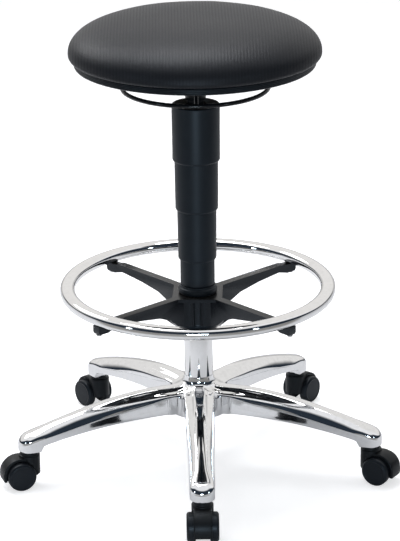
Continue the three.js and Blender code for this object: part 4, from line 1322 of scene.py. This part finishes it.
def star_mesh():
    points, faces = star_shape()
    obj = bpy.data.objects.new("star", to_mesh("star", points, faces, merge=0.02))
    bpy.context.scene.collection.objects.link(obj)
    cutters = []
    for k in range(ARM_COUNT):
        turn = arm_turn(k)
        for side in (-1, 1):
            channel, channel_faces = channel_shape(side)
            channel = [turn @ Vector(p) + AXIS for p in channel]
            cutters.append(scratch("channel", (channel, channel_faces)))
        stem = AXIS + turn @ Vector((STEM_CIRCLE, 0, 0))
        cutters.append(scratch("socket", cylinder(SOCKET_RADIUS, TIP_FOOT - CUT, TIP_FOOT + SOCKET_DEPTH, 32, stem)))
    inner, outer = POCKET_RADII
    foot, roof = HUB_FOOT - CUT, HUB_FOOT + POCKET_DEPTH
    pocket = [(inner, foot), (outer, foot), (outer, roof), (inner, roof)]
    cutters.append(scratch("pocket", revolve(pocket, 96)))
    return take_mesh(combine(obj, cutters, "DIFFERENCE"))


# Casters, drawn with the stem on the upright axis and trailing along x

WHEEL_RADIUS = 25
WHEEL_SPREAD = 23.2
WHEEL_WIDTH = 15.5
TRAIL = 19.5
HOOD_RADIUS = 31
HOOD_WIDTH = 30
NECK_RADIUS = 18.5
NECK_TOP = 58
NECK_COLLAR = 15.5
HOOD_TOP = 65.5
HOOD_FRONT_Z = 24
HOOD_REAR_ANGLE = math.radians(-17)
AXLE_RADIUS = 3
STEM_RADIUS = 5.5
STEM_HOLE_FOOT = 40
WHEEL_SPACE = 26.2
AXLE_BOSS = 9


def lying(points, x, z):
    """Turns a body about the upright axis onto its side, to lie along y at x and z."""
    return [(x + p[0], p[2], z + p[1]) for p in points]


def lying_rod(radius, length, segments=72, middle=0):
    half = length / 2
    points, faces = cylinder(radius, middle - half, middle + half, segments, ORIGIN)
    return lying(points, TRAIL, WHEEL_RADIUS), faces


def hood_mesh():
    """The fender over the two wheels, its straight front, and the neck that turns on the stem."""
    base = scratch("fender", lying_rod(HOOD_RADIUS, HOOD_WIDTH, 96))
    soften(base, 1.6, 4, 60)
    neck = [(0, HOOD_FRONT_Z - 8, 0), (NECK_RADIUS, HOOD_FRONT_Z - 8, 0), (NECK_RADIUS, NECK_TOP, 1.6),
            (NECK_COLLAR, NECK_TOP + 1, 1.2), (NECK_COLLAR, HOOD_TOP, 0.8), (0, HOOD_TOP, 0)]
    neck_shape = revolve(rounded(neck, 4), 72, closed=False, centre=ORIGIN)
    base = combine(base, [scratch("neck", neck_shape)], "UNION")
    rear = Vector((TRAIL + HOOD_RADIUS * math.cos(HOOD_REAR_ANGLE), 0,
                   WHEEL_RADIUS + HOOD_RADIUS * math.sin(HOOD_REAR_ANGLE)))
    below = [(-60, HOOD_FRONT_Z), (-NECK_RADIUS, HOOD_FRONT_Z), (rear.x, rear.z), (rear.x + 20, rear.z),
             (rear.x + 20, -30), (-60, -30)]
    cutters = [scratch("below", extrude(below, 2 * HOOD_WIDTH, ORIGIN, Vector((1, 0, 0))))]
    web = WHEEL_SPREAD - 1
    for side in (-1, 1):
        cutters.append(scratch("wheel_space", lying_rod(WHEEL_SPACE, HOOD_WIDTH, 96, side * (web + HOOD_WIDTH) / 2)))
    base = combine(base, cutters, "DIFFERENCE")
    base = combine(base, [scratch("boss", lying_rod(AXLE_BOSS, web, 48))], "UNION")
    stem_shape = cylinder(STEM_RADIUS + 0.4, STEM_HOLE_FOOT, HOOD_TOP + CUT, 48, ORIGIN)
    base = combine(base, [scratch("axle_hole", lying_rod(AXLE_RADIUS + 0.3, 2 * HOOD_WIDTH, 32)),
                          scratch("stem_hole", stem_shape)], "DIFFERENCE")
    return take_mesh(soften(base, 0.7, 3, 40))


def wheel_mesh(side):
    """A wheel: ribbed inside, with a tread, a rounded shoulder, a raised rim and a slightly dished face."""
    inner = WHEEL_SPREAD / 2
    outer = inner + WHEEL_WIDTH
    r = WHEEL_RADIUS
    outline = [
        (0, inner + 11.3, 0), (AXLE_RADIUS + 0.4, inner + 11.3, 0.2), (AXLE_RADIUS + 0.4, inner, 0.4),
        (7.5, inner, 0.6), (7.5, inner + 4, 0.8), (r - 4.5, inner + 4, 0.8), (r - 4.5, inner + 0.8, 0.6),
        (r - 2.0, inner, 1.4), (r, inner + 1.9, 1.6), (r, outer - 4.2, 0.8), (r - 0.4, outer - 2.4, 1.6),
        (r - 3.0, outer - 0.3, 1.6), (r - 4.6, outer, 0.7), (r - 5.6, outer - 0.7, 0.5),
        (r - 8.0, outer - 0.55, 3.0), (0, outer - 0.25, 0),
    ]
    points, faces = revolve(rounded(outline, 4), 96, closed=False, centre=ORIGIN)
    points = [(p[0], p[1], p[2] * side) for p in points]
    return to_mesh("wheel", lying(points, TRAIL, WHEEL_RADIUS), faces)


def caster_matrix(i):
    """Where a caster stands and which way it trails, from its own nodes in the frame."""
    stem = centre_of(f"caster_{i}_stem")
    axle = centre_of(f"caster_{i}_axle")
    heading = math.atan2(axle.y - stem.y, axle.x - stem.x)
    place = Vector((stem.x, stem.y, 0)) * MM
    return Matrix.Translation(place) @ Matrix.Rotation(heading, 4, "Z")


def dress_casters(materials):
    hood = hood_mesh()
    wheels = {"left": wheel_mesh(1), "right": wheel_mesh(-1)}
    for i in CASTERS:
        matrix = caster_matrix(i)
        mesh = hood.copy()
        mesh.transform(matrix)
        place_piece(f"hood_{i}", mesh, materials["hood"], f"caster_{i}", [f"caster_{i}_hood"])
        for side, wheel in wheels.items():
            mesh = wheel.copy()
            mesh.transform(matrix)
            place_piece(f"wheel_{i}_{side}", mesh, materials["wheel"], f"wheel_{i}_{side}",
                        [f"caster_{i}_wheel_{side}"])


def dress_seat(materials):
    cushion = dress("cushion", cushion_shape(), materials["vinyl"], "seat", ["seat_cushion"])
    dress("edge_trim", band_shape(), materials["band"], "seat", ["seat_edge_band"])
    place_piece("seat_plate_pressed", seat_plate_mesh(), materials["steel_black"], "seat",
                ["seat_plate"])
    place_piece("release_hoop", lever_mesh(), materials["steel_black"], "release_lever",
                ["release_ring"])
    for i in range(1, 5):
        node = f"seat_screw_{i}"
        dress(f"seat_bolt_{i}", screw_shape(node), materials["zinc"], "seat", [node])


def dress_column(materials):
    place_piece("cover_top", top_cover_mesh(), materials["cup_lit_cover"], "seat",
                ["cover_stage_1"])
    for i, body in ((1, "cover_two"), (2, "cover_three"), (3, "base")):
        dress(f"cover_{i + 1}", cover_shape(i), materials["cover"], body,
              [f"cover_stage_{i + 1}"])
    dress("gas_spring_tube", pressure_tube_shape(), materials["steel_black"], "seat",
          ["pressure_tube"])
    dress("plated_tube", stand_tube_shape(), materials["chrome"], "base", ["stand_tube"])
    dress("twist_collar", collar_shape(), materials["cover"], "collar", ["clamp_collar"])


def dress_foot_rest(materials):
    dress("foot_hoop", foot_ring_shape(), materials["chrome"], "foot_rest", ["foot_ring"])
    place_piece("spider", spider_mesh(), materials["spider"], "foot_rest",
                ["foot_ring_spider"])
    for i in range(1, 5):
        node = f"foot_ring_screw_{i}"
        dress(f"ring_bolt_{i}", screw_shape(node), materials["zinc"], "foot_rest", [node])


def dress_star(materials):
    place_piece("star_casting", star_mesh(), materials["cast"], "base", ["star_base"])


KEPT = {
    "seat_board": "plywood", "actuator_plate": "zinc", "valve_pin": "zinc", "piston_rod": "zinc",
    "retaining_clip": "zinc", "thrust_bearing": "zinc", "guide_sleeve": "nylon",
}


def dress_kept_nodes(materials):
    kept = dict(KEPT)
    for i in CASTERS:
        kept[f"caster_{i}_stem"] = "zinc"
        kept[f"caster_{i}_axle"] = "zinc"
    for node, name in kept.items():
        NODES[node].data.materials.clear()
        NODES[node].data.materials.append(materials[name])


def set_colour_management():
    bpy.context.scene.view_settings.view_transform = "Standard"


make_camera()
make_world()
make_floor()
make_lights()
finishes = make_materials()
dress_seat(finishes)
dress_column(finishes)
dress_foot_rest(finishes)
dress_star(finishes)
dress_casters(finishes)
dress_kept_nodes(finishes)
set_colour_management()
